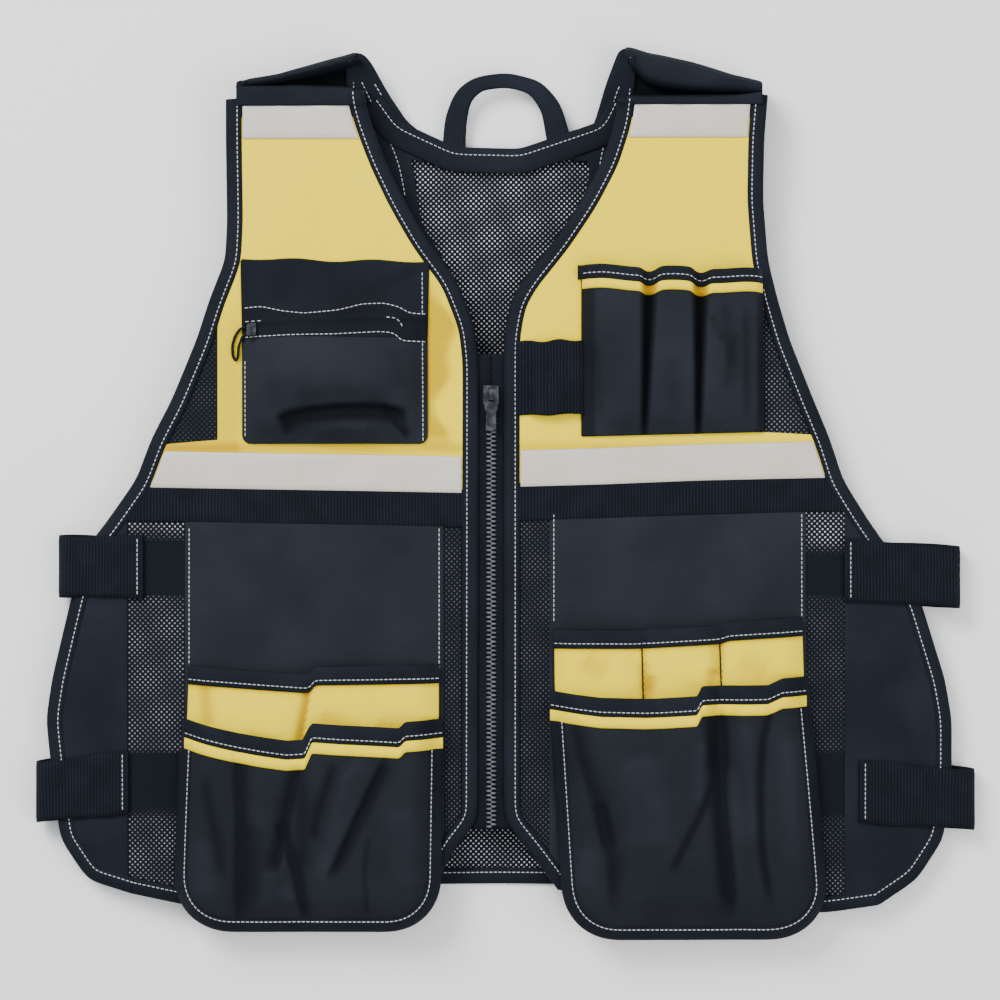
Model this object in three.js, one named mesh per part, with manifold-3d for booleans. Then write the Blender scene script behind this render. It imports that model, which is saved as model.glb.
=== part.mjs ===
// Utility work vest, lying on its back: +X to the photo's right, +Y to the neck, +Z out of the front.
// Sheets of cloth are cut from stepped surfaces, so that layers lie on each other with a small gap.
import * as THREE from 'three';
import * as BufferGeometryUtils from 'three/addons/utils/BufferGeometryUtils.js';
import Module from 'manifold-3d';

const wasm = await Module();
wasm.setup();

// Driving dimensions, in millimetres
const half_width = 260;            // zip to side seam at the waist
const body_length = 520;           // hem line to shoulder line
const front_lift = 18;             // height of the front cloth above the floor
const cloth = 1.4;                 // body cloth
const trim = 1;                    // bindings, tapes and skins sewn on it
const clearance = 0.3;             // between pieces that touch
const binding_width = 9.5;         // folded binding on the edges
const tape_width = 23;             // reflective tape
const tuck = 2;                    // how far a panel's edge lies under the tape
const rib_height = 22;             // ribbed band under the tape
const band_reveal = 7.5;           // yellow showing between the tape and the pockets
const neck_band_width = 16;
const mouth_binding_width = 11;    // folded binding on pocket mouths
const edge_binding_width = 8;      // binding round the lower pockets
const piping_width = 7;            // yellow piping under a pocket's mouth
const piping_height = 2;
const strap_width = 40;            // elastic side straps
const strap_thick = 1.6;
const handle_width = 15;
const handle_thick = 2;
const handle_rise = 7;
const yoke_thick = 2.4;
const yoke_roll = 30;              // height of the rolled shoulder above the floor
const yoke_landing = 17;           // seam of the yoke on the back panel
const yoke_dip = 6;                // valley between the front's top edge and the roll
const roll_round = 7;
const strap_lift = 0.05;           // straps lie just over their seat
const strap_return = 26;           // sewn length on the back
const zip_tuck = 4;                // tape hidden under each front
const tooth_reach = 2.6;           // from the zip's middle to the back of a row of teeth
const tooth_height = 2.2;
const mid_depth = 9;               // how far the lower pockets' middle layer stands off
const front_depth = 14;            // and the front layer in front of it
const chest_pocket_depth = 16;
const pen_depth = 11;
const tool_depth = 5.5;
const pocket_cloth = 1.2;
const chest_corner = 9;            // round lower corners of the chest pocket
const mid_corner = 34;             // and of the lower pockets

// Heights over a cloth surface at which layers start
const on_cloth = cloth + clearance;
const on_trim = on_cloth + trim + clearance;
const on_pocket = pocket_cloth + clearance;

const group = new THREE.Group();
const material = (color, roughness, metalness = 0) => {
  return new THREE.MeshStandardMaterial({ color, roughness, metalness });
};
const black_cloth = material(0x25293a, 0.9);
const black_mesh = material(0x2b303a, 0.95);
const pocket_black = material(0x20252f, 0.85);
const binding_black = material(0x1b1f29, 0.85);
const yellow_cloth = material(0xfdeb5f, 0.8);
const reflective = material(0xd5d3c9, 0.35, 0.2);
const elastic_black = material(0x21262f, 0.9);
const zip_black = material(0x1b1d22, 0.5);
const zip_metal = material(0xb9bcc0, 0.3, 1);

// Small helpers on plan points, each [x, y]
const at = ([across, up]) => [across * half_width, up * body_length];
const place = (rows) => rows.map(at);

function ramp(rows, where) {
  if (where <= rows[0][0]) {
    return rows[0][1];
  }
  for (let i = 1; i < rows.length; i += 1) {
    const [a, low] = rows[i - 1];
    const [b, high] = rows[i];
    if (where <= b) {
      return low + ((high - low) * (where - a)) / (b - a);
    }
  }
  return rows[rows.length - 1][1];
}

// A line moved sideways to its left by a distance
function shifted(line, distance) {
  return line.map(([x, y], i) => {
    const [ax, ay] = line[Math.max(i - 1, 0)];
    const [bx, by] = line[Math.min(i + 1, line.length - 1)];
    const back = new THREE.Vector2(x - ax, y - ay).normalize();
    const ahead = new THREE.Vector2(bx - x, by - y).normalize();
    const along = back.clone().add(ahead).normalize();
    const cosine = Math.max(along.dot(back.length() ? back : ahead), 0.5);
    return [x - (along.y * distance) / cosine, y + (along.x * distance) / cosine];
  });
}

function strip(line, from, to) {
  return [...shifted(line, from), ...shifted(line, to).reverse()];
}

// A line shortened at its two ends
function trimmed(line, start, end) {
  const cutStart = (points, length) => {
    const rest = [...points];
    let left = length;
    while (rest.length > 2) {
      const step = Math.hypot(rest[1][0] - rest[0][0], rest[1][1] - rest[0][1]);
      if (step > left) {
        break;
      }
      left -= step;
      rest.shift();
    }
    const [[ax, ay], [bx, by]] = rest;
    const share = left / Math.hypot(bx - ax, by - ay);
    rest[0] = [ax + (bx - ax) * share, ay + (by - ay) * share];
    return rest;
  };
  return cutStart(cutStart(line, start).reverse(), end).reverse();
}

// Closed shell between two grids of points with the same rows and columns
function shell(top, bottom) {
  const rows = top.length;
  const columns = top[0].length;
  const points = [...top.flat(), ...bottom.flat()];
  const upper = (i, j) => i * columns + j;
  const lower = (i, j) => rows * columns + i * columns + j;
  const faces = [];
  const quad = (a, b, c, d) => faces.push(a, b, c, a, c, d);
  for (let i = 0; i < rows - 1; i += 1) {
    for (let j = 0; j < columns - 1; j += 1) {
      quad(upper(i, j), upper(i, j + 1), upper(i + 1, j + 1), upper(i + 1, j));
      quad(lower(i, j), lower(i + 1, j), lower(i + 1, j + 1), lower(i, j + 1));
    }
  }
  for (let j = 0; j < columns - 1; j += 1) {
    quad(upper(0, j + 1), upper(0, j), lower(0, j), lower(0, j + 1));
    const last = rows - 1;
    quad(upper(last, j), upper(last, j + 1), lower(last, j + 1), lower(last, j));
  }
  for (let i = 0; i < rows - 1; i += 1) {
    quad(upper(i, 0), upper(i + 1, 0), lower(i + 1, 0), lower(i, 0));
    const last = columns - 1;
    quad(upper(i + 1, last), upper(i, last), lower(i, last), lower(i + 1, last));
  }
  const [a, b, c] = [0, 1, 2].map(() => new THREE.Vector3());
  let volume = 0;
  for (let i = 0; i < faces.length; i += 3) {
    a.fromArray(points[faces[i]]);
    b.fromArray(points[faces[i + 1]]);
    c.fromArray(points[faces[i + 2]]);
    volume += a.dot(b.cross(c));
  }
  const geometry = new THREE.BufferGeometry();
  const positions = new Float32Array(points.flat());
  geometry.setAttribute('position', new THREE.BufferAttribute(positions, 3));
  geometry.setIndex(volume > 0 ? faces : faces.reverse());
  return geometry;
}

function solid(geometry) {
  const plain = geometry.clone();
  plain.deleteAttribute('normal');
  plain.deleteAttribute('uv');
  const merged = BufferGeometryUtils.mergeVertices(plain, 1e-4);
  const vertProperties = new Float32Array(merged.attributes.position.array);
  const triVerts = new Uint32Array(merged.index.array);
  const made = new wasm.Manifold(new wasm.Mesh({ numProp: 3, vertProperties, triVerts }));
  return made;
}

function geometryOf(made) {
  const mesh = made.getMesh();
  const geometry = new THREE.BufferGeometry();
  geometry.setAttribute('position', new THREE.BufferAttribute(new Float32Array(mesh.vertProperties), 3));
  geometry.setIndex([...mesh.triVerts]);
  return geometry;
}

// Upright prism over a plan outline, taller than the whole vest
const prism_reach = 200;
function prism(outline) {
  const shape = new THREE.Shape(outline.map(([x, y]) => new THREE.Vector2(x, y)));
  const geometry = new THREE.ExtrudeGeometry(shape, { depth: 2 * prism_reach, bevelEnabled: false });
  geometry.translate(0, 0, -prism_reach);
  return solid(geometry);
}

// A surface is a grid of lines and the height over each crossing
function surface(x_lines, y_lines, height) {
  const order = (lines) => {
    const rounded = lines.map((line) => Math.round(line * 1000) / 1000);
    return [...new Set(rounded)].sort((a, b) => a - b);
  };
  const xs = order(x_lines);
  const ys = order(y_lines);
  const level = (from) => ys.map((y) => xs.map((x) => [x, y, height(x, y) + from]));
  return { xs, ys, level };
}

// Cloth cut out of a surface between two heights over it, less some outlines, inside another
function cut(over, outline, [low, high], without = [], within = null) {
  let made = solid(shell(over.level(high), over.level(low))).intersect(prism(outline));
  for (const gap of without) {
    made = made.subtract(prism(gap));
  }
  if (within) {
    made = made.intersect(prism(within));
  }
  return made;
}

function add(name, made, look) {
  const geometry = made instanceof THREE.BufferGeometry ? made : geometryOf(made);
  const mesh = new THREE.Mesh(geometry, look);
  mesh.name = name;
  group.add(mesh);
  return mesh;
}

// The front cloth's height: shares of front_lift, by shares across and up the body
const lift_across = [
  [-1.25, -0.55],
  [-0.95, -0.22],
  [-0.78, 0],
  [-0.13, 0.1],
  [0.09, 0.1],
  [0.76, 0],
  [0.93, -0.22],
  [1.25, -0.55],
];
const lift_up = [
  [-0.08, -0.1],
  [0.22, 0.15],
  [0.5, 0.1],
  [0.76, 0.3],
  [1.02, 0.5],
];
const frontHeight = (x, y) => {
  return front_lift * (1 + ramp(lift_across, x / half_width) + ramp(lift_up, y / body_length));
};
const base_x = lift_across.map(([across]) => across * half_width);
const base_y = lift_up.map(([up]) => up * body_length);
const front = surface(base_x, base_y, frontHeight);

// Edges of the two fronts: across, up. Each list runs with the cloth on its left.
const edges = {
  left: {
    neck: [
      [-0.175, -0.004], [-0.12, 0.05], [-0.075, 0.0875], [-0.075, 0.675], [-0.085, 0.71],
      [-0.12, 0.7625], [-0.1875, 0.8125], [-0.245, 0.8625], [-0.2925, 0.9125], [-0.33, 0.9625],
      [-0.35, 0.9875],
    ],
    arm: [
      [-0.68, 0.9875], [-0.68, 0.9375], [-0.6775, 0.8375], [-0.6825, 0.7875], [-0.7225, 0.7375],
      [-0.755, 0.6875], [-0.8175, 0.6125], [-0.87, 0.5625], [-0.9075, 0.5125], [-0.9775, 0.4625],
      [-1.04, 0.4225], [-1.0725, 0.3625], [-1.12, 0.2625], [-1.135, 0.2125], [-1.12, 0.14],
      [-1.1, 0.0625], [-1.0325, 0.0125],
    ],
    hem: [[-0.925, -0.004], [-0.775, -0.019], [-0.5, -0.031], [-0.25, -0.019], [-0.19, -0.008]],
  },
  right: {
    hem: [[0.165, -0.003], [0.25, -0.019], [0.5, -0.03], [0.825, -0.0275], [0.95, -0.019]],
    arm: [
      [1.045, 0.0125], [1.11, 0.0625], [1.13, 0.14], [1.13, 0.2125], [1.1125, 0.2625],
      [1.05, 0.3625], [0.9875, 0.4125], [0.9175, 0.4625], [0.855, 0.5125], [0.8225, 0.5625],
      [0.78, 0.6125], [0.72, 0.6875], [0.69, 0.7375], [0.665, 0.7875], [0.6525, 0.8625],
      [0.655, 0.9375], [0.6625, 0.991],
    ],
    neck: [
      [0.315, 0.991], [0.295, 0.9625], [0.2625, 0.9125], [0.21, 0.8625], [0.1425, 0.8125],
      [0.0725, 0.7625], [0.0425, 0.7375], [0.03, 0.7], [0.03, 0.0875], [0.075, 0.05], [0.15, 0],
    ],
  },
};

// Lower edge of the chest tape: across, up
const tape_low = {
  left: [[-1.3, 0.504], [-0.9, 0.504], [-0.3, 0.499], [0, 0.496]],
  right: [[0, 0.504], [0.25, 0.5075], [0.5, 0.5125], [0.82, 0.516], [1.3, 0.516]],
};

// Yellow chest cloth: armhole side of its outline, across, up
const chest_side = {
  left: [[-0.75, 1.1], [-0.75, 0.73], [-0.705, 0.715], [-0.705, 0.562], [-0.9, 0.554], [-1.3, 0.554]],
  right: [[1.3, 0.567], [0.84, 0.567], [0.66, 0.572], [0.66, 0.72], [0.72, 0.75], [0.72, 1.1]],
};
const side_line = { left: -0.935, right: 0.865 };
const shoulder_line = { left: 0.983, right: 0.985 };

const pieces = {};
for (const side of ['left', 'right']) {
  const { neck, arm, hem } = edges[side];
  const order = side === 'left' ? [neck, arm, hem] : [hem, arm, neck];
  const outline = place(order.flat());
  const [neck_line, arm_line, hem_line] = [neck, arm, hem].map(place);
  const grown = binding_width + clearance;
  const edge_gaps = [neck_line, arm_line].map((line) => strip(line, -grown, grown));
  const hem_gap = strip(hem_line, -grown, grown);
  add(`front_panel_${side}`, cut(front, outline, [0, cloth]), black_mesh);
  const level = [on_cloth, on_cloth + trim];
  const neck_strip = strip(neck_line, 0, binding_width);
  const arm_strip = strip(trimmed(arm_line, clearance, clearance), 0, binding_width);
  add(`neck_binding_${side}`, cut(front, neck_strip, level), binding_black);
  add(`armhole_binding_${side}`, cut(front, arm_strip, level), binding_black);
  const hem_strip = strip(hem_line, 0, binding_width);
  add(`hem_binding_${side}`, cut(front, hem_strip, level, edge_gaps), binding_black);

  // Yellow cloth from the shoulder down to just under the tape
  const low = place(tape_low[side]);
  const lifted = (by) => low.map(([x, y]) => [x, y + by]);
  const chest_outline = side === 'left'
    ? [...lifted(tuck), ...place([[0, 1.1]]), ...place(chest_side.left)]
    : [...lifted(tuck), ...place(chest_side.right), ...place([[0, 1.1]])];
  add(`chest_panel_${side}`, cut(front, chest_outline, level, edge_gaps, outline), yellow_cloth);

  // Reflective tape over the joint, from binding to binding
  const tape_outline = [...low, ...lifted(tape_width).reverse()];
  const over = [on_trim, on_trim + trim];
  const tape = cut(front, tape_outline, over, edge_gaps, outline);
  add(`chest_tape_${side}`, tape, reflective);
  const shoulder_top = shoulder_line[side] * body_length;
  const shoulder_low = shoulder_top - tape_width;
  const [inner, outer] = [0, (side === 'left' ? -1 : 1) * half_width];
  const shoulder_box = [
    [inner, shoulder_low], [outer, shoulder_low], [outer, shoulder_top], [inner, shoulder_top],
  ];
  const shoulder = cut(front, shoulder_box, over, edge_gaps, outline);
  add(`shoulder_tape_${side}`, shoulder, reflective);

  // Ribbed band tucked under the tape
  const rib_top = lifted(tuck - clearance);
  const rib_outline = [...lifted(-rib_height), ...rib_top.reverse()];
  const rib = cut(front, rib_outline, level, edge_gaps, outline);
  add(`rib_band_${side}`, rib, elastic_black);

  // Side cloth between the mesh strip and the side seam
  const side_x = side_line[side] * half_width;
  const beyond = Math.sign(side_x) * 2 * half_width;
  const under_rib = lifted(-rib_height - clearance);
  const [inner_y, outer_y] = (side === 'left' ? [1, 0] : [3, 4]).map((row) => under_rib[row][1]);
  const side_top = side === 'left'
    ? [[side_x, inner_y], [beyond, outer_y]]
    : [[beyond, outer_y], [side_x, inner_y]];
  const side_outline = side === 'left'
    ? [[side_x, -body_length], ...side_top, [beyond, -body_length]]
    : [[side_x, -body_length], [beyond, -body_length], ...side_top];
  const side_cloth = cut(front, side_outline, level, [...edge_gaps, hem_gap], outline);
  add(`side_panel_${side}`, side_cloth, black_cloth);
  pieces[side] = { outline, edge_gaps, hem_gap, lifted };
}

// Back, one flat sheet on the floor: across, up, right shoulder first
const back_neck = [
  [-0.3575, 1.035], [-0.25, 0.9625], [-0.1125, 0.931], [0.05, 0.929], [0.25, 0.9625], [0.32, 1.035],
];
const back_right = [
  [0.5, 1.019], [0.65, 0.995], [0.645, 0.8125], [0.68, 0.7375], [0.765, 0.6125], [0.845, 0.5125],
  [0.9125, 0.456], [0.98, 0.4], [1.03, 0.3625], [1.09, 0.2625], [1.11, 0.1375], [1.09, 0.0625],
  [1.025, 0.015], [0.94, 0],
];
const back_hem = [[0.825, -0.005], [0.4, 0.004], [0, 0.006], [-0.4, 0.004], [-0.825, -0.002]];
const back_left = [
  [-0.94, 0.006], [-1.02, 0.02], [-1.08, 0.0625], [-1.1, 0.1375], [-1.1, 0.2625], [-1.05, 0.3625],
  [-1.02, 0.4], [-0.9625, 0.456], [-0.8975, 0.5125], [-0.805, 0.6125], [-0.7125, 0.7375],
  [-0.6675, 0.8125], [-0.66, 0.985], [-0.575, 1.0075],
];
const floor = surface([-2 * half_width, 2 * half_width], [-body_length, 2 * body_length], () => 0);
const back_outline = place([...back_neck, ...back_right, ...back_hem, ...back_left]);
const on_back = [on_cloth, on_cloth + trim];
add('back_panel', cut(floor, back_outline, [0, cloth]), black_mesh);
const neck_edge = trimmed(place(back_neck), 2 * yoke_landing, 2 * yoke_landing);
add('back_neck_band', cut(floor, strip(neck_edge, 0, -neck_band_width), on_back), pocket_black);
const back_hem_line = place(back_hem);
add('back_hem_binding', cut(floor, strip(back_hem_line, 0, -binding_width), on_back), binding_black);

// Shoulder yokes: from the front's top edge, over a roll and down to the back
const rolls = {
  left: [[-0.355, 1.045], [-0.42, 1.0375], [-0.55, 1.0175], [-0.66, 1.004]],
  right: [[0.32, 1.055], [0.4, 1.045], [0.55, 1.024], [0.655, 1.005]],
};
for (const side of ['left', 'right']) {
  const shoulder_y = shoulder_line[side] * body_length + clearance;
  const panel_end = Math.max(...[...edges[side].neck, ...edges[side].arm].map(([, up]) => up));
  const open_y = panel_end * body_length + clearance + trim;
  const profiles = place(rolls[side]).map(([x, top]) => {
    const seat = frontHeight(x, shoulder_y) + on_trim + yoke_thick;
    const landed = on_cloth + yoke_thick / 2;
    const valley = open_y + 0.4 * (top - open_y);
    const brow = open_y + 0.75 * (top - open_y);
    const middle = [
      [shoulder_y, seat],
      [open_y, seat],
      [valley, seat - yoke_dip],
      [brow, yoke_roll - yoke_thick],
      [top - trim, yoke_roll - roll_round],
      [top, yoke_roll - 2 * roll_round],
      [top - yoke_thick, roll_round],
      [top - roll_round, landed],
      [top - roll_round - yoke_landing, landed],
    ];
    const side_of = (distance) => shifted(middle, distance).map(([y, z]) => [x, y, z]);
    return [side_of(yoke_thick / 2), side_of(-yoke_thick / 2)];
  });
  const yoke = shell(profiles.map(([over]) => over), profiles.map(([, under]) => under));
  add(`shoulder_yoke_${side}`, yoke, black_cloth);
}

// Elastic side straps: flat loops from the front, round the open side, to the back
const strap_rows = [
  { name: 'upper_left', start: -0.8925, knot: -0.95, edge: -1.055, out: -1.1075, up: 0.404, lean: 0 },
  { name: 'lower_left', start: -0.93, knot: -0.95, edge: -1.135, out: -1.165, up: 0.134, lean: -7 },
  { name: 'upper_right', start: 0.8625, knot: 0.93, edge: 1.03, out: 1.155, up: 0.4, lean: -5 },
  { name: 'lower_right', start: 0.9, knot: 0.93, edge: 1.14, out: 1.1925, up: 0.1225, lean: -6 },
];
for (const { name, start, knot, edge, out, up, lean } of strap_rows) {
  const sign = Math.sign(out);
  const [start_x, knot_x, edge_x, out_x] = [start, knot, edge, out].map((share) => share * half_width);
  const half = strap_width / 2;
  const y_at = (x) => up * body_length + (lean * (x - start_x)) / (out_x - start_x);
  const seat = (x) => {
    const higher = Math.max(frontHeight(x, y_at(x) - half), frontHeight(x, y_at(x) + half));
    return higher + on_trim + strap_thick / 2 + strap_lift;
  };
  const low = on_cloth + strap_thick / 2;
  const high = seat(edge_x);
  const round = Math.min((high - low - strap_thick) / 2, Math.abs(out_x - edge_x) - strap_thick);
  const back_x = out_x - sign * round;
  const middle = [
    [start_x, seat(start_x)],
    [knot_x, seat(knot_x)],
    [edge_x, high],
    [back_x, high - clearance],
    [out_x, high - round],
    [out_x, low + round],
    [back_x, low],
    [edge_x - sign * strap_return, low],
  ];
  const faces_of = [strap_thick / 2, -strap_thick / 2].map((distance) => {
    const line = shifted(middle, distance);
    return [-half, half].map((offset) => line.map(([x, z]) => [x, y_at(x) + offset, z]));
  });
  add(`strap_${name}`, shell(...faces_of), elastic_black);
}

// Webbing handle, sewn on the band at the back of the neck
const handle_route = [
  [-0.135, 0.912], [-0.13, 0.965], [-0.112, 1.0], [-0.065, 1.018], [0.02, 1.023], [0.095, 1.01],
  [0.135, 0.985], [0.165, 0.915],
];
const handle_foot = cloth + trim + 2 * clearance;
const handle_lines = [0.8, 0.93, 0.96, 1.1].map((up) => up * body_length);
const lie = surface([-half_width, half_width], handle_lines, (x, y) => {
  return handle_foot + handle_rise * ramp([[0.93, 0], [0.96, 0.7], [1.1, 1]], y / body_length);
});
const handle_line = place(handle_route);
const handle_strip = strip(handle_line, handle_width / 2, -handle_width / 2);
add('handle', cut(lie, handle_strip, [0, handle_thick]), elastic_black);

// Front zip between the two fronts
const left_front_edge = -0.075 * half_width;
const right_front_edge = 0.03 * half_width;
const zip_x = (left_front_edge + right_front_edge) / 2;
const zip_low = 0.075 * body_length;
const zip_top = 0.67 * body_length;
const teeth_top = 0.607 * body_length;
const box = (x0, y0, x1, y1) => [[x0, y0], [x1, y0], [x1, y1], [x0, y1]];
const under_front = [-clearance - trim, -clearance];
for (const [side, edge_x, sign] of [['left', left_front_edge, -1], ['right', right_front_edge, 1]]) {
  const split = zip_x + (sign * clearance) / 2;
  const tape = box(edge_x + sign * zip_tuck, zip_low, split, zip_top);
  add(`zipper_tape_${side}`, cut(front, tape, under_front), zip_black);
  const teeth = box(zip_x + sign * tooth_reach, zip_low + tuck, split, teeth_top);
  add(`zipper_teeth_${side}`, cut(front, teeth, [0, tooth_height]), zip_black);
}

// Slider with its bridge, and the pull whose bar turns in the bridge
const [slider_width, slider_length, slider_height] = [10, 12, 3.2];
const slider_y = teeth_top + clearance + slider_length / 2;
const slider_z = frontHeight(zip_x, slider_y + slider_length / 2);
const slider_top = slider_z + slider_height;
const bridge_half = 4.5;
const bridge_height = 4.4;
const bridge_wall = 1.5;
const bridge_bevel = 1.1;
const bridge_wide = 3;
const bridge_root = 0.5;
const [bridge_in, bridge_under] = [bridge_half - bridge_wall, bridge_height - bridge_wall - clearance];
const bridge_outline = [
  [-bridge_half, -bridge_root],
  [-bridge_half, bridge_height - bridge_bevel],
  [bridge_bevel - bridge_half, bridge_height],
  [bridge_half - bridge_bevel, bridge_height],
  [bridge_half, bridge_height - bridge_bevel],
  [bridge_half, -bridge_root],
  [bridge_in, -bridge_root],
  [bridge_in, bridge_under],
  [-bridge_in, bridge_under],
  [-bridge_in, -bridge_root],
];
const flat_shape = (rows) => new THREE.Shape(rows.map(([x, y]) => new THREE.Vector2(x, y)));
const bridge_extrusion = { depth: bridge_wide, bevelEnabled: false };
const bridge = new THREE.ExtrudeGeometry(flat_shape(bridge_outline), bridge_extrusion);
bridge.rotateX(Math.PI / 2);
bridge.rotateZ(Math.PI / 2);
bridge.translate(zip_x - bridge_wide / 2, slider_y, slider_top);
const slider_block = new THREE.BoxGeometry(slider_width, slider_length, slider_height);
slider_block.translate(zip_x, slider_y, slider_z + slider_height / 2);
add('zipper_slider', solid(slider_block).add(solid(bridge)), zip_metal);
const pull_thick = 1.4;
const pull_length = 24;
const [pull_head, pull_waist, pull_end] = [4.2, 3, 3.4];
const [pull_neck, pull_waist_y] = [-9, -12];
const pull_bar = pull_thick / 2;
const pull_low = pull_bar - pull_length;
const pull_z = slider_top + pull_bar + 2 * clearance;
const pull_shape = flat_shape([
  [-pull_head, pull_bar],
  [-pull_head, pull_neck],
  [-pull_waist, pull_waist_y],
  [-pull_end, pull_low],
  [pull_end, pull_low],
  [pull_waist, pull_waist_y],
  [pull_head, pull_neck],
  [pull_head, pull_bar],
]);
const [eye_half, eye_length] = [2.1, 5.6];
const eye_top = -pull_bar;
const eye_low = eye_top - eye_length;
const pull_eye = flat_shape([
  [-eye_half, eye_top], [eye_half, eye_top], [eye_half, eye_low], [-eye_half, eye_low],
]);
pull_shape.holes.push(new THREE.Path(pull_eye.getPoints()));
const pull = new THREE.ExtrudeGeometry(pull_shape, { depth: pull_thick, bevelEnabled: false });
pull.translate(zip_x, slider_y, pull_z - pull_thick / 2);
add('zipper_pull', geometryOf(solid(pull)), zip_metal);

// A pocket's surface stands off the front by a depth, shared out across and up the pocket
function pocketSurface(frame, across, up, height) {
  const { left, right, bottom, top } = frame;
  const margin = 2 * trim;
  const inside = (lines, low, high) => lines.filter((v) => v > low && v < high);
  const across_x = across.map(([share]) => left + share * (right - left));
  const up_y = up.map(([share]) => bottom + share * (top - bottom));
  const xs = [left - margin, ...across_x, ...inside(base_x, left, right), right + margin];
  const ys = [bottom - margin, ...up_y, ...inside(base_y, bottom, top), top + margin];
  return surface(xs, ys, (x, y) => {
    return frontHeight(x, y) + height((x - left) / (right - left), (y - bottom) / (top - bottom));
  });
}

// Pocket outline with round lower corners, and a top that may have steps, right to left
function pocketOutline({ left, right, bottom, narrow = 0 }, corner, top_line) {
  const turns = 4;
  const arc = (cx, cy, from) => Array.from({ length: turns + 1 }, (_, i) => {
    const angle = from + (i / turns) * (Math.PI / 2);
    return [cx + corner * Math.cos(angle), cy + corner * Math.sin(angle)];
  });
  const low_left = arc(left + narrow + corner, bottom + corner, Math.PI);
  const low_right = arc(right - narrow - corner, bottom + corner, 1.5 * Math.PI);
  return [...low_left, ...low_right, ...top_line];
}

// Chest pocket: a flat top, a zip and a full bag under it
const chest_top = 0.7875 * body_length;
const chest_zip = 0.7 * body_length;
const zip_strip = 9;
const chest_frame = {
  left: -0.6425 * half_width,
  right: -0.1825 * half_width,
  bottom: at([0, 0.5])[1] + tape_width + band_reveal,
  top: chest_top,
};
const chest_across = [[0, 0], [0.1, 0.7], [0.3, 1], [0.7, 1], [0.9, 0.7], [1, 0]];
const chest_up = [[0, 0], [0.12, 0.8], [0.38, 1], [0.6, 0.45], [0.72, 0.3], [1, 0]];
const chest_surface = pocketSurface(chest_frame, chest_across, chest_up, (u, v) => {
  return on_trim + chest_pocket_depth * ramp(chest_across, u) * ramp(chest_up, v);
});
const { left: chest_left, right: chest_right, bottom: chest_bottom } = chest_frame;
const pocket_layer = [0, pocket_cloth];
const pocket_trim = [on_pocket, on_pocket + trim];
const bag_top = [[chest_right, chest_zip], [chest_left, chest_zip]];
const bag_outline = pocketOutline(chest_frame, chest_corner, bag_top);
add('chest_pocket_bag', cut(chest_surface, bag_outline, pocket_layer), pocket_black);
const top_outline = box(chest_left, chest_zip + clearance, chest_right, chest_top);
add('chest_pocket_top', cut(chest_surface, top_outline, pocket_layer), pocket_black);
const zip_outline = box(
  chest_left + trim, chest_zip - zip_strip / 2, chest_right - trim, chest_zip + zip_strip / 2,
);
add('chest_pocket_zip', cut(chest_surface, zip_outline, pocket_trim), zip_black);
const [small_width, small_length, small_height] = [6, 8, 2.4];
const small_x = chest_left + small_width;
const small_edge = small_x + small_width / 2;
const small_share = (small_edge - chest_left) / (chest_right - chest_left);
const zip_share = (chest_zip - chest_frame.bottom) / (chest_top - chest_frame.bottom);
const small_bulge = chest_pocket_depth * ramp(chest_across, small_share) * ramp(chest_up, zip_share);
const small_low = on_trim + small_bulge + on_pocket + trim + clearance;
const small_seat = frontHeight(small_x, chest_zip) + small_low;
const small_block = new THREE.BoxGeometry(small_width, small_length, small_height);
small_block.translate(small_x, chest_zip, small_seat + small_height / 2);
add('chest_pocket_slider', geometryOf(solid(small_block)), zip_metal);
const [loop_width, loop_length] = [5, 21];
const loop_wire = 1.6;
const loop_right = chest_left - clearance;
const loop_left = loop_right - loop_width;
const loop_low = chest_zip - loop_length;
const loop_line = box(loop_left, loop_low, loop_right, chest_zip);
const loop_hole = box(
  loop_left + loop_wire, loop_low + loop_wire, loop_right - loop_wire, chest_zip - loop_wire,
);
const loop_level = [on_trim, on_trim + loop_wire];
add('chest_pocket_pull', cut(front, loop_line, loop_level, [loop_hole]), binding_black);

// Pen pockets: three narrow compartments, open at the top
const pen_frame = {
  left: 0.205 * half_width,
  right: 0.655 * half_width,
  bottom: at([0, 0.509])[1] + tape_width + band_reveal,
  top: 0.7775 * body_length,
};
const pen_across = [
  [0, 0], [0.05, 0.85], [0.18, 1], [0.32, 0.85], [0.378, 0], [0.43, 0.85], [0.5, 1], [0.575, 0.85],
  [0.632, 0], [0.68, 0.85], [0.83, 1], [0.95, 0.85], [1, 0],
];
const pen_up = [[0, 0], [0.12, 0.6], [0.5, 0.9], [1, 1]];
const pen_surface = pocketSurface(pen_frame, pen_across, pen_up, (u, v) => {
  return on_trim + pen_depth * ramp(pen_across, u) * ramp(pen_up, v);
});
const { left: pen_left, right: pen_right, bottom: pen_bottom, top: pen_top } = pen_frame;
const pen_row = (low, high) => box(pen_left, pen_top - high, pen_right, pen_top - low);
const pen_outline = box(pen_left, pen_bottom, pen_right, pen_top);
add('pen_pocket', cut(pen_surface, pen_outline, pocket_layer), pocket_black);
const pen_binding_width = mouth_binding_width - tuck;
add('pen_binding', cut(pen_surface, pen_row(0, pen_binding_width), pocket_trim), binding_black);
const pen_piping = pen_row(pen_binding_width + clearance, pen_binding_width + piping_width);
add('pen_piping', cut(pen_surface, pen_piping, [on_pocket, on_pocket + piping_height]), yellow_cloth);

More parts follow.
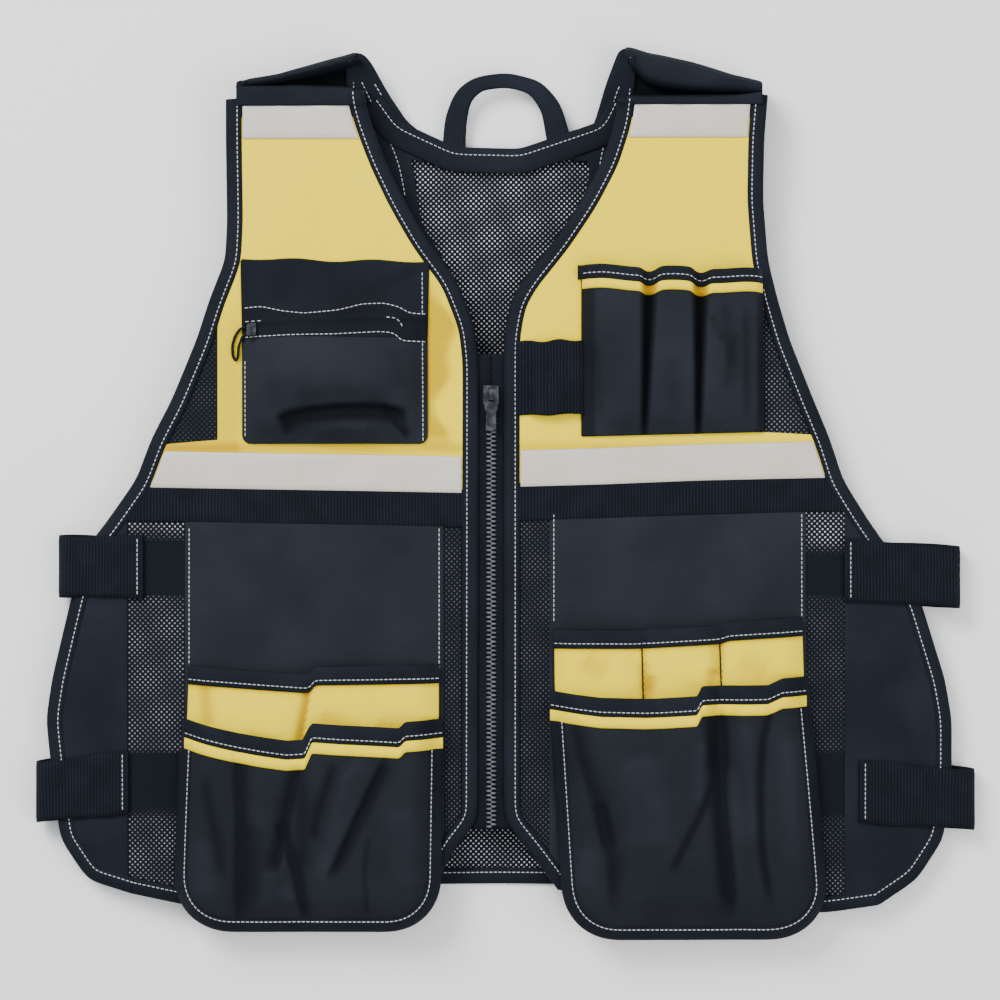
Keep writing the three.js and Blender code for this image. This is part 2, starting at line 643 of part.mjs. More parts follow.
// Elastic tool band beside the pen pockets, open above and below
const tool_frame = {
  left: 0.0725 * half_width,
  right: pen_left - 4 * trim,
  bottom: 0.594 * body_length,
  top: 0.684 * body_length,
};
const tool_across = [[0, 0], [0.15, 1], [0.85, 1], [1, 0]];
const tool_surface = pocketSurface(tool_frame, tool_across, [[0, 1], [1, 1]], (u) => {
  return on_trim + tool_depth * ramp(tool_across, u);
});
const tool_outline = box(tool_frame.left, tool_frame.bottom, tool_frame.right, tool_frame.top);
add('tool_band', cut(tool_surface, tool_outline, pocket_layer), elastic_black);

// Lower pockets: across, up. Mouth lines run right to left.
const lower = {
  left: {
    sides: [-0.7875, -0.1425],
    bottom: -0.051,
    mid_mouth: [[-0.1425, 0.28], [-0.465, 0.2775], [-0.475, 0.2675], [-0.7875, 0.279]],
    mouth: [[-0.1425, 0.214], [-0.47, 0.206], [-0.5, 0.1875], [-0.7875, 0.2125]],
    mid: [[0, 0], [0.08, 0.9], [0.3, 1], [0.47, 0.75], [0.52, 0.75], [0.7, 1], [0.92, 0.9], [1, 0]],
    folds: [
      [0, 0], [0.1, 0.8], [0.17, 0.9], [0.22, 0.55], [0.32, 0.95], [0.46, 0.55], [0.6, 1], [0.71, 0.7],
      [0.9, 0.85], [1, 0],
    ],
  },
  right: {
    sides: [0.125, 0.765],
    bottom: -0.061,
    mid_mouth: [[0.765, 0.339], [0.55, 0.331], [0.36, 0.325], [0.125, 0.331]],
    mouth: [[0.765, 0.261], [0.53, 0.254], [0.51, 0.2425], [0.36, 0.239], [0.125, 0.2475]],
    mid: [
      [0, 0], [0.08, 0.9], [0.3, 1], [0.35, 0.6], [0.4, 1], [0.62, 1], [0.665, 0.6], [0.71, 1],
      [0.92, 0.9], [1, 0],
    ],
    folds: [
      [0, 0], [0.1, 0.75], [0.2, 0.9], [0.26, 0.7], [0.42, 1], [0.6, 0.9], [0.68, 0.4], [0.74, 0.9],
      [0.83, 0.7], [0.9, 0.85], [1, 0],
    ],
  },
};
const mid_up = [[0, 0], [0.1, 0.8], [0.4, 1], [1, 1]];
const front_up = [[0, 0], [0.15, 0.85], [0.5, 1], [1, 0.9]];
const base_low = 0.02;
for (const side of ['left', 'right']) {
  const { sides, bottom, mid_mouth, mouth, mid, folds } = lower[side];
  const { edge_gaps, hem_gap, outline, lifted } = pieces[side];
  const [left, right] = sides.map((share) => share * half_width);
  const mouth_line = place(mouth);
  const mid_line = place(mid_mouth);
  const top_of = (line) => Math.max(...line.map(([, y]) => y));
  const frame = { left, right, bottom: bottom * body_length, top: top_of(mid_line) };

  const base_top = lifted(-rib_height - clearance).reverse();
  const base_box = box(left, base_low * body_length, right, frame.top);
  const base_outline = [base_box[0], base_box[1], ...base_top];
  const base_cut = cut(front, base_outline, [on_cloth, on_cloth + trim], [...edge_gaps, hem_gap], outline);
  const base_sides = prism(box(left, -body_length, right, body_length));
  add(`pocket_base_${side}`, base_cut.intersect(base_sides), pocket_black);

  // Both layers share their lines, so the front one clears the middle one
  const share_up = (line) => (top_of(line) - frame.bottom) / (frame.top - frame.bottom);
  const front_rows = front_up.map(([up, depth]) => [up * share_up(mouth_line), depth]);
  const all_across = [...mid, ...folds];
  const all_up = [...mid_up, ...front_rows];
  const mid_height = (u, v) => on_trim + mid_depth * ramp(mid, u) * ramp(mid_up, v);
  const front_height = (u, v) => {
    return mid_height(u, v) + on_pocket + front_depth * ramp(folds, u) * ramp(front_rows, v);
  };
  const mid_surface = pocketSurface(frame, all_across, all_up, mid_height);
  const front_surface = pocketSurface(frame, all_across, all_up, front_height);
  const layer = [0, pocket_cloth];
  const mid_outline = pocketOutline(frame, mid_corner, mid_line);
  add(`pocket_mid_${side}`, cut(mid_surface, mid_outline, layer), yellow_cloth);
  const mid_band = strip(mid_line, 0, mouth_binding_width);
  add(`pocket_mid_binding_${side}`, cut(mid_surface, mid_band, pocket_trim), binding_black);

  const front_outline = pocketOutline(frame, mid_corner, mouth_line);
  add(`pocket_front_${side}`, cut(front_surface, front_outline, layer), pocket_black);
  const mouth_band = strip(mouth_line, 0, mouth_binding_width);
  add(`pocket_mouth_binding_${side}`, cut(front_surface, mouth_band, pocket_trim), binding_black);
  const piping_from = mouth_binding_width + clearance;
  const piping_band = strip(mouth_line, piping_from, piping_from + piping_width);
  const piping = [on_pocket, on_pocket + piping_height];
  add(`pocket_piping_${side}`, cut(front_surface, piping_band, piping), yellow_cloth);

  const inner = {
    left: left + edge_binding_width,
    right: right - edge_binding_width,
    bottom: frame.bottom + edge_binding_width,
  };
  const inner_outline = pocketOutline(inner, mid_corner - edge_binding_width, lifted(0).reverse());
  const under_piping = shifted(mouth_line, piping_from + piping_width + clearance);
  const upper_gap = [
    ...under_piping, [left - binding_width, body_length], [right + binding_width, body_length],
  ];
  const edge = cut(front_surface, front_outline, pocket_trim, [inner_outline, upper_gap]);
  add(`pocket_edge_binding_${side}`, edge, binding_black);
}

// Origin under the middle of the whole vest
const whole = new THREE.Box3().setFromObject(group);
const middle = whole.getCenter(new THREE.Vector3());
group.position.set(-middle.x, -middle.y, -whole.min.z);
group.updateMatrixWorld(true);

export default group;
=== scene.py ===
# Utility work vest lying on its back: cloth, mesh, tapes, zip, pockets and straps over the fixed frame.
import math

import bpy
import numpy as np
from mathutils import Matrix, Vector
from mathutils.geometry import delaunay_2d_cdt


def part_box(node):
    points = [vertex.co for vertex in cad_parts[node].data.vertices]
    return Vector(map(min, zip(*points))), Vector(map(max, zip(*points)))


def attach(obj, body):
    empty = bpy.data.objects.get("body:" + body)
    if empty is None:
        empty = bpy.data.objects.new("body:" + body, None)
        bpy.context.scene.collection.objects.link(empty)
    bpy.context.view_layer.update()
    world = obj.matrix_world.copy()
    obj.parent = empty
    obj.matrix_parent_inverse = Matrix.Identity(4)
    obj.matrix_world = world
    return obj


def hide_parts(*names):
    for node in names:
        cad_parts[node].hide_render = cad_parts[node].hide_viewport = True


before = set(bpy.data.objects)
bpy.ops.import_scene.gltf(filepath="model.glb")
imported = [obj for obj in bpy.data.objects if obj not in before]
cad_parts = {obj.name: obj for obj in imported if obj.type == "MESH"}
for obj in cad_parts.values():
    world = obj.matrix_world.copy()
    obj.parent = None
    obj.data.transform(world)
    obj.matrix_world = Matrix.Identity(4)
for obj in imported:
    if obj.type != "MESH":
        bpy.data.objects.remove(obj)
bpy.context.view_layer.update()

# Sizes in metres, the same as the frame's
MM = 0.001
HALF_WIDTH = 260 * MM
BODY_LENGTH = 520 * MM
FRONT_LIFT = 18 * MM
CLOTH = 1.4 * MM
TRIM = 1.0 * MM
GAP = 0.3 * MM
BINDING_WIDTH = 9.5 * MM
TAPE_WIDTH = 23 * MM
TUCK = 2 * MM
RIB_HEIGHT = 22 * MM
BAND_REVEAL = 7.5 * MM
NECK_BAND_WIDTH = 16 * MM
MOUTH_BINDING = 11 * MM
EDGE_BINDING = 8 * MM
# How far layers reach in under a binding, and where its stitches run, as a share of its width
UNDER_BINDING = 2.5 * MM
BINDING_SEAM = 0.66
PIPING_WIDTH = 7 * MM
STRAP_WIDTH = 40 * MM
STRAP_THICK = 1.6 * MM
HANDLE_WIDTH = 15 * MM
HANDLE_THICK = 2 * MM
POCKET_CLOTH = 1.2 * MM
MID_DEPTH = 9 * MM
FRONT_DEPTH = 14 * MM
CHEST_DEPTH = 16 * MM
PEN_DEPTH = 11 * MM
TOOL_DEPTH = 5.5 * MM
ON_CLOTH = CLOTH + GAP
ON_TRIM = ON_CLOTH + TRIM + GAP
ON_POCKET = POCKET_CLOTH + GAP
BODY = "vest"
# Plan direction from the neck to the hem
DOWN = (0.0, -1.0)

# The frame's own origin, found again from two edges of its left lower pocket
POCKET_SIDE = 0.7875
POCKET_FOOT = 0.051
ORIGIN_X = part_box("pocket_base_left")[0][0] + POCKET_SIDE * HALF_WIDTH
ORIGIN_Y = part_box("pocket_front_left")[0][1] + POCKET_FOOT * BODY_LENGTH

# Camera straight above, as the photograph is taken: 650 mm across the picture
VIEW_WIDTH = 0.65
VIEW_HEIGHT = 2.4
FOCUS_HEIGHT = 0.025
VIEW_UP = 0.4875
SENSOR_WIDTH = 36
view_data = bpy.data.cameras.new("view_above")
view_data.sensor_width = SENSOR_WIDTH
view_data.lens = SENSOR_WIDTH * (VIEW_HEIGHT - FOCUS_HEIGHT) / VIEW_WIDTH
view_data.clip_end = 10
view_above = bpy.data.objects.new("view_above", view_data)
view_above.location = (ORIGIN_X, ORIGIN_Y + VIEW_UP * BODY_LENGTH, VIEW_HEIGHT)
bpy.context.scene.collection.objects.link(view_above)
bpy.context.scene.camera = view_above


def place(rows):
    """Shares across from the middle and up from the hem, as places on the floor."""
    return np.array([(ORIGIN_X + a * HALF_WIDTH, ORIGIN_Y + u * BODY_LENGTH) for a, u in rows])


def lengths(points):
    """Length walked along a line at each of its points."""
    return np.concatenate([[0], np.cumsum(np.linalg.norm(np.diff(points, axis=0), axis=1))])


def walked(points, where):
    """Places on a line at the given lengths from its start."""
    along = lengths(points)
    return np.stack([np.interp(where, along, points[:, k]) for k in range(points.shape[1])], axis=1)


def resample(points, spacing):
    """The same line with a point about every spacing."""
    points = np.asarray(points, float)
    total = lengths(points)[-1]
    return walked(points, np.linspace(0, total, max(int(round(total / spacing)), 1) + 1))


def part_of(points, start, end):
    """The stretch of a line between two lengths from its start; an end of 0 or less counts from its end."""
    along = lengths(points)
    end = along[-1] + end if end <= 0 else end
    return walked(points, np.concatenate([[start], along[(along > start) & (along < end)], [end]]))


def smooth_line(points, spacing=2 * MM, rounds=12):
    """The line through a few points with its corners eased, and a point every spacing."""
    line = resample(points, spacing)
    for _ in range(rounds):
        line[1:-1] = 0.25 * line[:-2] + 0.5 * line[1:-1] + 0.25 * line[2:]
    return resample(line, spacing)


def normals(points):
    """Unit directions to the left of a plan line."""
    ahead = np.gradient(points[:, :2], axis=0)
    ahead /= np.maximum(np.linalg.norm(ahead, axis=1)[:, None], 1e-12)
    return np.stack([-ahead[:, 1], ahead[:, 0]], axis=1)


def shifted(points, distance):
    """A plan line moved to its left by a distance."""
    return points + normals(points) * np.reshape(distance, (-1, 1))


def soft_ramp(rows, where, reach=0.0):
    """Value of a table of (place, value) rows, with its corners eased over a reach."""
    rows = np.asarray(rows, float)
    offsets = np.linspace(-1, 1, 7) * reach if reach else [0.0]
    return sum(np.interp(where + step, rows[:, 0], rows[:, 1]) for step in offsets) / len(offsets)


# Heights of the front cloth, as shares of its lift
LIFT_ACROSS = [
    (-1.25, -0.55), (-0.95, -0.22), (-0.78, 0), (-0.13, 0.1), (0.09, 0.1), (0.76, 0), (0.93, -0.22),
    (1.25, -0.55),
]
LIFT_UP = [(-0.08, -0.1), (0.22, 0.15), (0.5, 0.1), (0.76, 0.3), (1.02, 0.5)]

# Slow ripples of the cloth: turns across and up the body, where they start, height in millimetres
RIPPLES = [
    (1.6, 0.9, 0.4, 0.45), (-1.3, 2.9, 1.9, 0.4), (3.9, -3.2, 3.3, 0.3), (-5.2, 4.7, 5.0, 0.22),
    (6.6, 5.3, 0.9, 0.16), (-9.0, 8.1, 2.6, 0.1),
]


def ripple(x, y):
    """Height of the cloth's slow ripples."""
    u = (x - ORIGIN_X) / HALF_WIDTH
    v = (y - ORIGIN_Y) / BODY_LENGTH
    total = np.zeros_like(u)
    for across, up, start, height in RIPPLES:
        bend = 0.7 * np.sin(2.1 * up * v + 1.7 * across * u)
        total = total + height * MM * np.sin(math.pi * (across * u + up * v) + start + bend)
    return total


def front_height(x, y):
    """Underside of the front's mesh over the floor."""
    across = soft_ramp(LIFT_ACROSS, (x - ORIGIN_X) / HALF_WIDTH, 0.06)
    up = soft_ramp(LIFT_UP, (y - ORIGIN_Y) / BODY_LENGTH, 0.08)
    return FRONT_LIFT * (1 + across + up) + ripple(x, y)


def back_height(x, y):
    return 0.4 * np.abs(ripple(x, y))


def over(height, rise):
    """The same surface a little higher."""
    return lambda x, y: height(x, y) + rise


# Heights of what lies on the front's mesh, and of what lies on that
on_cloth = over(front_height, ON_CLOTH)
on_trim = over(front_height, ON_TRIM)


# Mesh building
def new_object(name, verts, faces, look, uvs=None, shade=None):
    """Smooth mesh with one look, its flat places for the weave and its shading where given."""
    mesh = bpy.data.meshes.new(name)
    mesh.from_pydata(np.asarray(verts).tolist(), [], faces)
    mesh.materials.append(look)
    if uvs is not None:
        layer = mesh.uv_layers.new(name="UVMap")
        index = np.empty(len(mesh.loops), int)
        mesh.loops.foreach_get("vertex_index", index)
        layer.data.foreach_set("uv", np.asarray(uvs, float)[index].ravel())
    if shade is not None:
        layer = mesh.attributes.new("shade", "FLOAT", "POINT")
        layer.data.foreach_set("value", np.asarray(shade, float))
    mesh.polygons.foreach_set("use_smooth", [True] * len(mesh.polygons))
    mesh.update()
    obj = bpy.data.objects.new(name, mesh)
    bpy.context.scene.collection.objects.link(obj)
    return obj


def settle(obj, replaces=(), body=BODY):
    """The piece rides on its body and stands for its nodes."""
    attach(obj, body)
    if replaces:
        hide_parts(*([replaces] if isinstance(replaces, str) else replaces))
    return obj


def inside(points, ring):
    """Whether each point lies inside a ring."""
    crossed = np.zeros(len(points), bool)
    x, y = points[:, 0], points[:, 1]
    for (ax, ay), (bx, by) in zip(ring, np.roll(ring, -1, axis=0)):
        if ay != by:
            crossed ^= ((ay > y) != (by > y)) & (x < ax + (y - ay) * (bx - ax) / (by - ay))
    return crossed


def edge_distance(points, ring):
    """Distance from each point to the nearest edge of a ring."""
    best = np.full(len(points), 1e9)
    for a, b in zip(ring, np.roll(ring, -1, axis=0)):
        side = b - a
        t = np.clip(((points - a) @ side) / max(side @ side, 1e-18), 0, 1)
        best = np.minimum(best, np.linalg.norm(points - (a + t[:, None] * side), axis=1))
    return best


def cut_cloth(rings, spacing, holes=()):
    """Flat triangles inside every ring and outside every hole, on a close lattice of points."""
    rings = [resample(np.vstack([ring, ring[:1]]), spacing)[:-1] for ring in rings]
    holes = [resample(np.vstack([ring, ring[:1]]), spacing)[:-1] for ring in holes]
    low = np.max([ring.min(axis=0) for ring in rings], axis=0)
    high = np.min([ring.max(axis=0) for ring in rings], axis=0)
    rows = np.arange(low[1], high[1], spacing * 0.866)
    lattice = []
    for k, y in enumerate(rows):
        x = np.arange(low[0] + (k % 2) * spacing / 2, high[0], spacing)
        lattice.append(np.column_stack([x, np.full(len(x), y)]))
    points = np.vstack(lattice)
    for ring in rings:
        points = points[inside(points, ring)]
    for ring in rings + holes:
        points = points[edge_distance(points, ring) > 0.45 * spacing]
    outlines, edges, count = [], [], 0
    for ring in rings + holes:
        size = len(ring)
        edges += [(count + i, count + (i + 1) % size) for i in range(size)]
        outlines.append(ring)
        count += size
    both = np.vstack(outlines + [points])
    out = delaunay_2d_cdt([Vector(p) for p in both], edges, [], 0, 1e-8)
    flat = np.array([tuple(v) for v in out[0]])
    faces = np.array([tuple(f) for f in out[2]])
    middles = flat[faces].mean(axis=1)
    keep = np.ones(len(faces), bool)
    for ring in rings:
        keep &= inside(middles, ring)
    for ring in holes:
        keep &= ~inside(middles, ring)
    faces = faces[keep]
    a, b, c = (flat[faces[:, k]] for k in range(3))
    turn = (b[:, 0] - a[:, 0]) * (c[:, 1] - a[:, 1]) - (b[:, 1] - a[:, 1]) * (c[:, 0] - a[:, 0])
    faces[turn < 0] = faces[turn < 0][:, ::-1]
    used, index = np.unique(faces, return_inverse=True)
    return flat[used], index.reshape(faces.shape)


# Width, length and area that each cloth is cut to, measured flat in the plan before it is laid
cut_sizes = {}


def cloth_sheet(name, rings, height, look, thickness=CLOTH, spacing=3.5 * MM, holes=(), shade=None):
    """Sheet of cloth over plan outlines, with a rounded rim."""
    flat, faces = cut_cloth(rings, spacing, holes)
    count = len(flat)
    faces = [tuple(int(v) for v in face) for face in faces]
    sides = {(a, b) for face in faces for a, b in zip(face, face[1:] + face[:1])}
    rim = sorted((a, b) for a, b in sides if (b, a) not in sides)
    turned_area = sum(flat[a, 0] * flat[b, 1] - flat[b, 0] * flat[a, 1] for a, b in rim)
    cut_sizes[name] = (*(flat.max(axis=0) - flat.min(axis=0)), abs(turned_area) / 2)
    outward = np.zeros((count, 2))
    for a, b in rim:
        side = flat[b] - flat[a]
        push = np.array([side[1], -side[0]]) / max(np.linalg.norm(side), 1e-12)
        outward[a] += push
        outward[b] += push
    outward /= np.maximum(np.linalg.norm(outward, axis=1)[:, None], 1e-12)
    border = sorted({v for edge in rim for v in edge})
    base = height(flat[:, 0], flat[:, 1])
    crest = np.full(count, thickness)
    crest[border] = 0.8 * thickness
    top = np.column_stack([flat, base + crest])
    bottom = np.column_stack([flat, base])
    turned = flat[border] + 0.5 * thickness * outward[border]
    middle = np.column_stack([turned, base[border] + 0.4 * thickness])
    where = {v: 2 * count + k for k, v in enumerate(border)}
    skin = faces + [tuple(v + count for v in face[::-1]) for face in faces]
    for a, b in rim:
        skin.append((b, a, where[a], where[b]))
        skin.append((where[b], where[a], a + count, b + count))
    verts = np.vstack([top, bottom, middle])
    uvs = np.vstack([flat, flat, turned])
    tint = None
    if shade is not None:
        value = shade(flat[:, 0], flat[:, 1])
        tint = np.concatenate([value, value, value[border]])
    return new_object(name, verts, skin, look, uvs, tint)


def swept(name, line, section, height, look, scale=None, toward=None):
    """Closed section of (offset, rise) pairs along a plan line; offsets go to its left or toward a side."""
    line = np.asarray(line, float)
    side = normals(line) if toward is None else np.tile(toward, (len(line), 1))
    along = lengths(line)
    rows, columns = len(line), len(section)
    grow = np.ones(rows) if scale is None else np.interp(np.linspace(0, 1, rows), scale[0], scale[1])
    verts = np.empty((rows, columns, 3))
    uvs = np.empty((rows, columns, 2))
    reach = 0
    for j, (offset, rise) in enumerate(section):
        spot = line[:, :2] + side * (offset * grow)[:, None]
        verts[:, j, :2] = spot
        verts[:, j, 2] = height(spot[:, 0], spot[:, 1]) + rise
        if j:
            reach += math.dist(section[j], section[j - 1])
        uvs[:, j] = np.column_stack([along, np.full(rows, reach)])
    index = np.arange(rows * columns).reshape(rows, columns)
    faces = []
    for i in range(rows - 1):
        for j in range(columns):
            k = (j + 1) % columns
            faces.append((index[i, j], index[i, k], index[i + 1, k], index[i + 1, j]))
    faces.append(tuple(index[0, ::-1]))
    faces.append(tuple(index[-1]))
    around = sum(a[0] * b[1] - a[1] * b[0] for a, b in zip(section, section[1:] + section[:1]))
    step = -1 if around > 0 else 1
    faces = [tuple(int(v) for v in face[::step]) for face in faces]
    return new_object(name, verts.reshape(-1, 3), faces, look, uvs.reshape(-1, 2))


def flat_section(start, end, low, high, dome=0.0, steps=5):
    """Flat band from one offset to another, from a low to a high rise, with round edges and a domed top."""
    edge = 0.45 * (high - low) * (1 if end > start else -1)
    top = []
    for share in np.linspace(0, 1, steps):
        rise = high + dome * (1 - (2 * share - 1) ** 2)
        top.append((start + edge + (end - start - 2 * edge) * share, rise))
    middle = (low + high) / 2
    return [(start, middle)] + top + [(end, middle), (end - edge, low), (start + edge, low)]


def folded_section(width, low, high, tape=0.9 * MM, out=1.3 * MM):
    """Binding folded round a cloth edge: its inner edge lies on the cloth and its fold hangs outside."""
    return [
        (width, high), (width - 0.4 * tape, high + tape), (0.6 * width, high + 1.25 * tape),
        (0.25 * width, high + 1.05 * tape), (-0.3 * out, high + 0.35 * tape), (-out, 0.5 * (low + high)),
        (-0.3 * out, low - 0.6 * tape), (0.3 * width, low - tape), (0.9 * width, low - tape),
        (0.9 * width, low - 0.1 * tape), (0.3 * width, low - 0.1 * tape), (0, low + 0.3 * tape),
        (0, high - 0.6 * tape), (0.3 * width, high),
    ]


# Sewing thread: short raised stitches, all of one group in one mesh
STITCH_PITCH = 3.0 * MM
STITCH_LONG = 2.45 * MM
STITCH_THICK = 0.7 * MM
# A stitch along its length: share of the length, share of the thickness, lift as a share of it
STITCH_SHAPE = [(0.0, 0.4, -0.4), (0.2, 0.95, 0.1), (0.5, 1.0, 0.25), (0.8, 0.95, 0.1), (1.0, 0.4, -0.4)]


class Seam:
    """Stitches of one group, gathered into one mesh."""

    def __init__(self):
        self.verts = []
        self.faces = []

    def sew(self, line, height, offset=0.0, toward=None):
        """Stitches along a plan line, moved by an offset to its left or toward one side, on a height."""
        line = resample(np.asarray(line, float)[:, :2], 1.5 * MM)
        line = shifted(line, offset) if toward is None else line + offset * np.array(toward)
        along = lengths(line)
        count = max(int(along[-1] / STITCH_PITCH), 1)
        for k in range(count):
            start = (k + 0.5) * along[-1] / count - STITCH_LONG / 2
            spots = walked(line, [start + STITCH_LONG * share for share, _, _ in STITCH_SHAPE])
            rise = height(spots[:, 0], spots[:, 1])
            ahead = spots[-1] - spots[0]
            ahead /= max(np.linalg.norm(ahead), 1e-12)
            side = np.array([-ahead[1], ahead[0], 0])
            first = len(self.verts)
            for (share, full, lift), spot, z in zip(STITCH_SHAPE, spots, rise):
                middle = np.array([spot[0], spot[1], z + lift * STITCH_THICK])
                reach = full * STITCH_THICK / 2
                for turn in (side * reach, (0, 0, reach), -side * reach, (0, 0, -reach)):
                    self.verts.append(middle + turn)
            for i in range(len(STITCH_SHAPE) - 1):
                for j in range(4):
                    a, b = first + 4 * i + j, first + 4 * i + (j + 1) % 4
                    self.faces.append((a, b, b + 4, a + 4))
            last = first + 4 * (len(STITCH_SHAPE) - 1)
            self.faces.append((first + 3, first + 2, first + 1, first))
            self.faces.append((last, last + 1, last + 2, last + 3))

    def finish(self, name, look, slot):
        return settle(new_object(name, self.verts, self.faces, look))


# Finishes
def linear(hex_colour):
    """sRGB hex as the linear colour that shaders take."""
    parts = [int(hex_colour[i:i + 2], 16) / 255 for i in (1, 3, 5)]
    return [p / 12.92 if p <= 0.04045 else ((p + 0.055) / 1.055) ** 2.4 for p in parts] + [1.0]


def node(tree, kind, inputs=None, **settings):
    """One node with its settings; an input is a value or another node's socket."""
    made = tree.nodes.new(kind)
    for key, value in settings.items():
        setattr(made, key, value)
    for key, value in (inputs or {}).items():
        if isinstance(value, bpy.types.NodeSocket):
            tree.links.new(value, made.inputs[key])
        else:
            made.inputs[key].default_value = value
    return made


# Loose fibres scatter light more than they mirror it, so cloth has a low index
CLOTH_IOR = 1.2
HARD_IOR = 1.5


def new_look(name, roughness, metallic=0.0, ior=CLOTH_IOR, sheen=0.0, sheen_tint="#FFFFFF"):
    """A finish with its typical values, before its colour and grain."""
    look = bpy.data.materials.new(name)
    look.use_nodes = True
    tree = look.node_tree
    shader = tree.nodes["Principled BSDF"]
    shader.inputs["Roughness"].default_value = roughness
    shader.inputs["Metallic"].default_value = metallic
    shader.inputs["IOR"].default_value = ior
    shader.inputs["Sheen Weight"].default_value = sheen
    shader.inputs["Sheen Roughness"].default_value = 0.5
    shader.inputs["Sheen Tint"].default_value = linear(sheen_tint)
    return look, tree, shader


# The mix node's colour sockets, and the scale at which a band wave repeats every unit
SHARE, FIRST, SECOND, MIXED = 0, 6, 7, 2
WAVE_UNIT = math.pi / 10


def woven_look(name, colour, worn, pitch, depth, roughness=0.9, sheen=0.1, crease=None, stretch=(1, 1)):
    """Threads woven both ways, a little paler where rubbed, with painted shade in marked creases."""
    look, tree, shader = new_look(name, roughness, sheen=sheen, sheen_tint=worn)
    flat = node(tree, "ShaderNodeUVMap", uv_map="UVMap").outputs["UV"]
    waves = []
    for direction, longer in zip("XY", stretch):
        wave = node(tree, "ShaderNodeTexWave", {
            "Vector": flat, "Scale": WAVE_UNIT / (pitch * longer), "Distortion": 0.8, "Detail Scale": 2.0,
        }, bands_direction=direction)
        waves.append(wave.outputs["Fac"])
    threads = node(tree, "ShaderNodeMath", {0: waves[0], 1: waves[1]}, operation="MULTIPLY").outputs[0]
    fluff = node(tree, "ShaderNodeTexNoise", {"Vector": flat, "Scale": 0.5 / pitch, "Detail": 3.0})
    cloud = node(tree, "ShaderNodeTexNoise", {"Vector": flat, "Scale": 18.0, "Detail": 5.0})
    height = node(tree, "ShaderNodeMath", {
        0: fluff.outputs["Fac"], 1: 0.6, 2: threads,
    }, operation="MULTIPLY_ADD").outputs[0]
    rubbed = node(tree, "ShaderNodeMapRange", {
        "Value": cloud.outputs["Fac"], "From Min": 0.38, "From Max": 0.72, "To Min": 0.0, "To Max": 0.5,
    }).outputs[0]
    paler = node(tree, "ShaderNodeMath", {
        0: threads, 1: 0.35, 2: rubbed,
    }, operation="MULTIPLY_ADD", use_clamp=True).outputs[0]
    tint = node(tree, "ShaderNodeMix", {
        SHARE: paler, FIRST: linear(colour), SECOND: linear(worn),
    }, data_type="RGBA").outputs[MIXED]
    # Painted shade: the shade attribute takes the colour toward the crease colour
    if crease:
        shade = node(tree, "ShaderNodeAttribute", attribute_name="shade").outputs["Fac"]
        tint = node(tree, "ShaderNodeMix", {
            SHARE: shade, FIRST: tint, SECOND: linear(crease),
        }, data_type="RGBA").outputs[MIXED]
    tree.links.new(tint, shader.inputs["Base Color"])
    bump = node(tree, "ShaderNodeBump", {"Strength": 0.7, "Distance": depth, "Height": height})
    tree.links.new(bump.outputs["Normal"], shader.inputs["Normal"])
    return look


# Coated polyester oxford: matt, blue-black, threads 0.9 mm apart drawn a little coarse so they show
# Its near-black crease colour is painted shade in the creases and hollows
oxford_cloth = woven_look("polyester_oxford", "#161A21", "#252A33", 0.9 * MM, 0.25 * MM, crease="#05070A")
# The same cloth a little lighter, on the pockets' base panels and faces
# On the lower pockets' fronts the lighter colour is painted light on the ridges, and the crease colour is
# painted shade
oxford_lighter = woven_look(
    "polyester_oxford_lighter", "#1D2127", "#2C3037", 0.9 * MM, 0.25 * MM, crease="#05070A",
)
# Polyester binding tape: tighter weave, ribs across its length, a faint shine on the fold
binding_tape = woven_look(
    "polyester_binding_tape", "#11151C", "#1F242D", 0.8 * MM, 0.18 * MM, roughness=0.75, stretch=(1, 3),
)
# Fluorescent warp-knit polyester: bright lemon, with an amber crease colour painted as shade where it folds
# and shades itself
lemon_knit = woven_look(
    "fluorescent_knit", "#FFE000", "#FFE608", 0.8 * MM, 0.12 * MM, roughness=0.8, sheen=0.0, crease="#A87800",
)
# Polyester webbing of the handle, ribbed across
webbing_tape = woven_look(
    "polyester_webbing", "#141922", "#252A34", 1.6 * MM, 0.4 * MM, roughness=0.8, stretch=(1, 1.6),
)
# Zip's woven tape, fine and flat
zip_cloth = woven_look("zip_tape_weave", "#0C0F15", "#191D25", 0.8 * MM, 0.15 * MM, roughness=0.8)


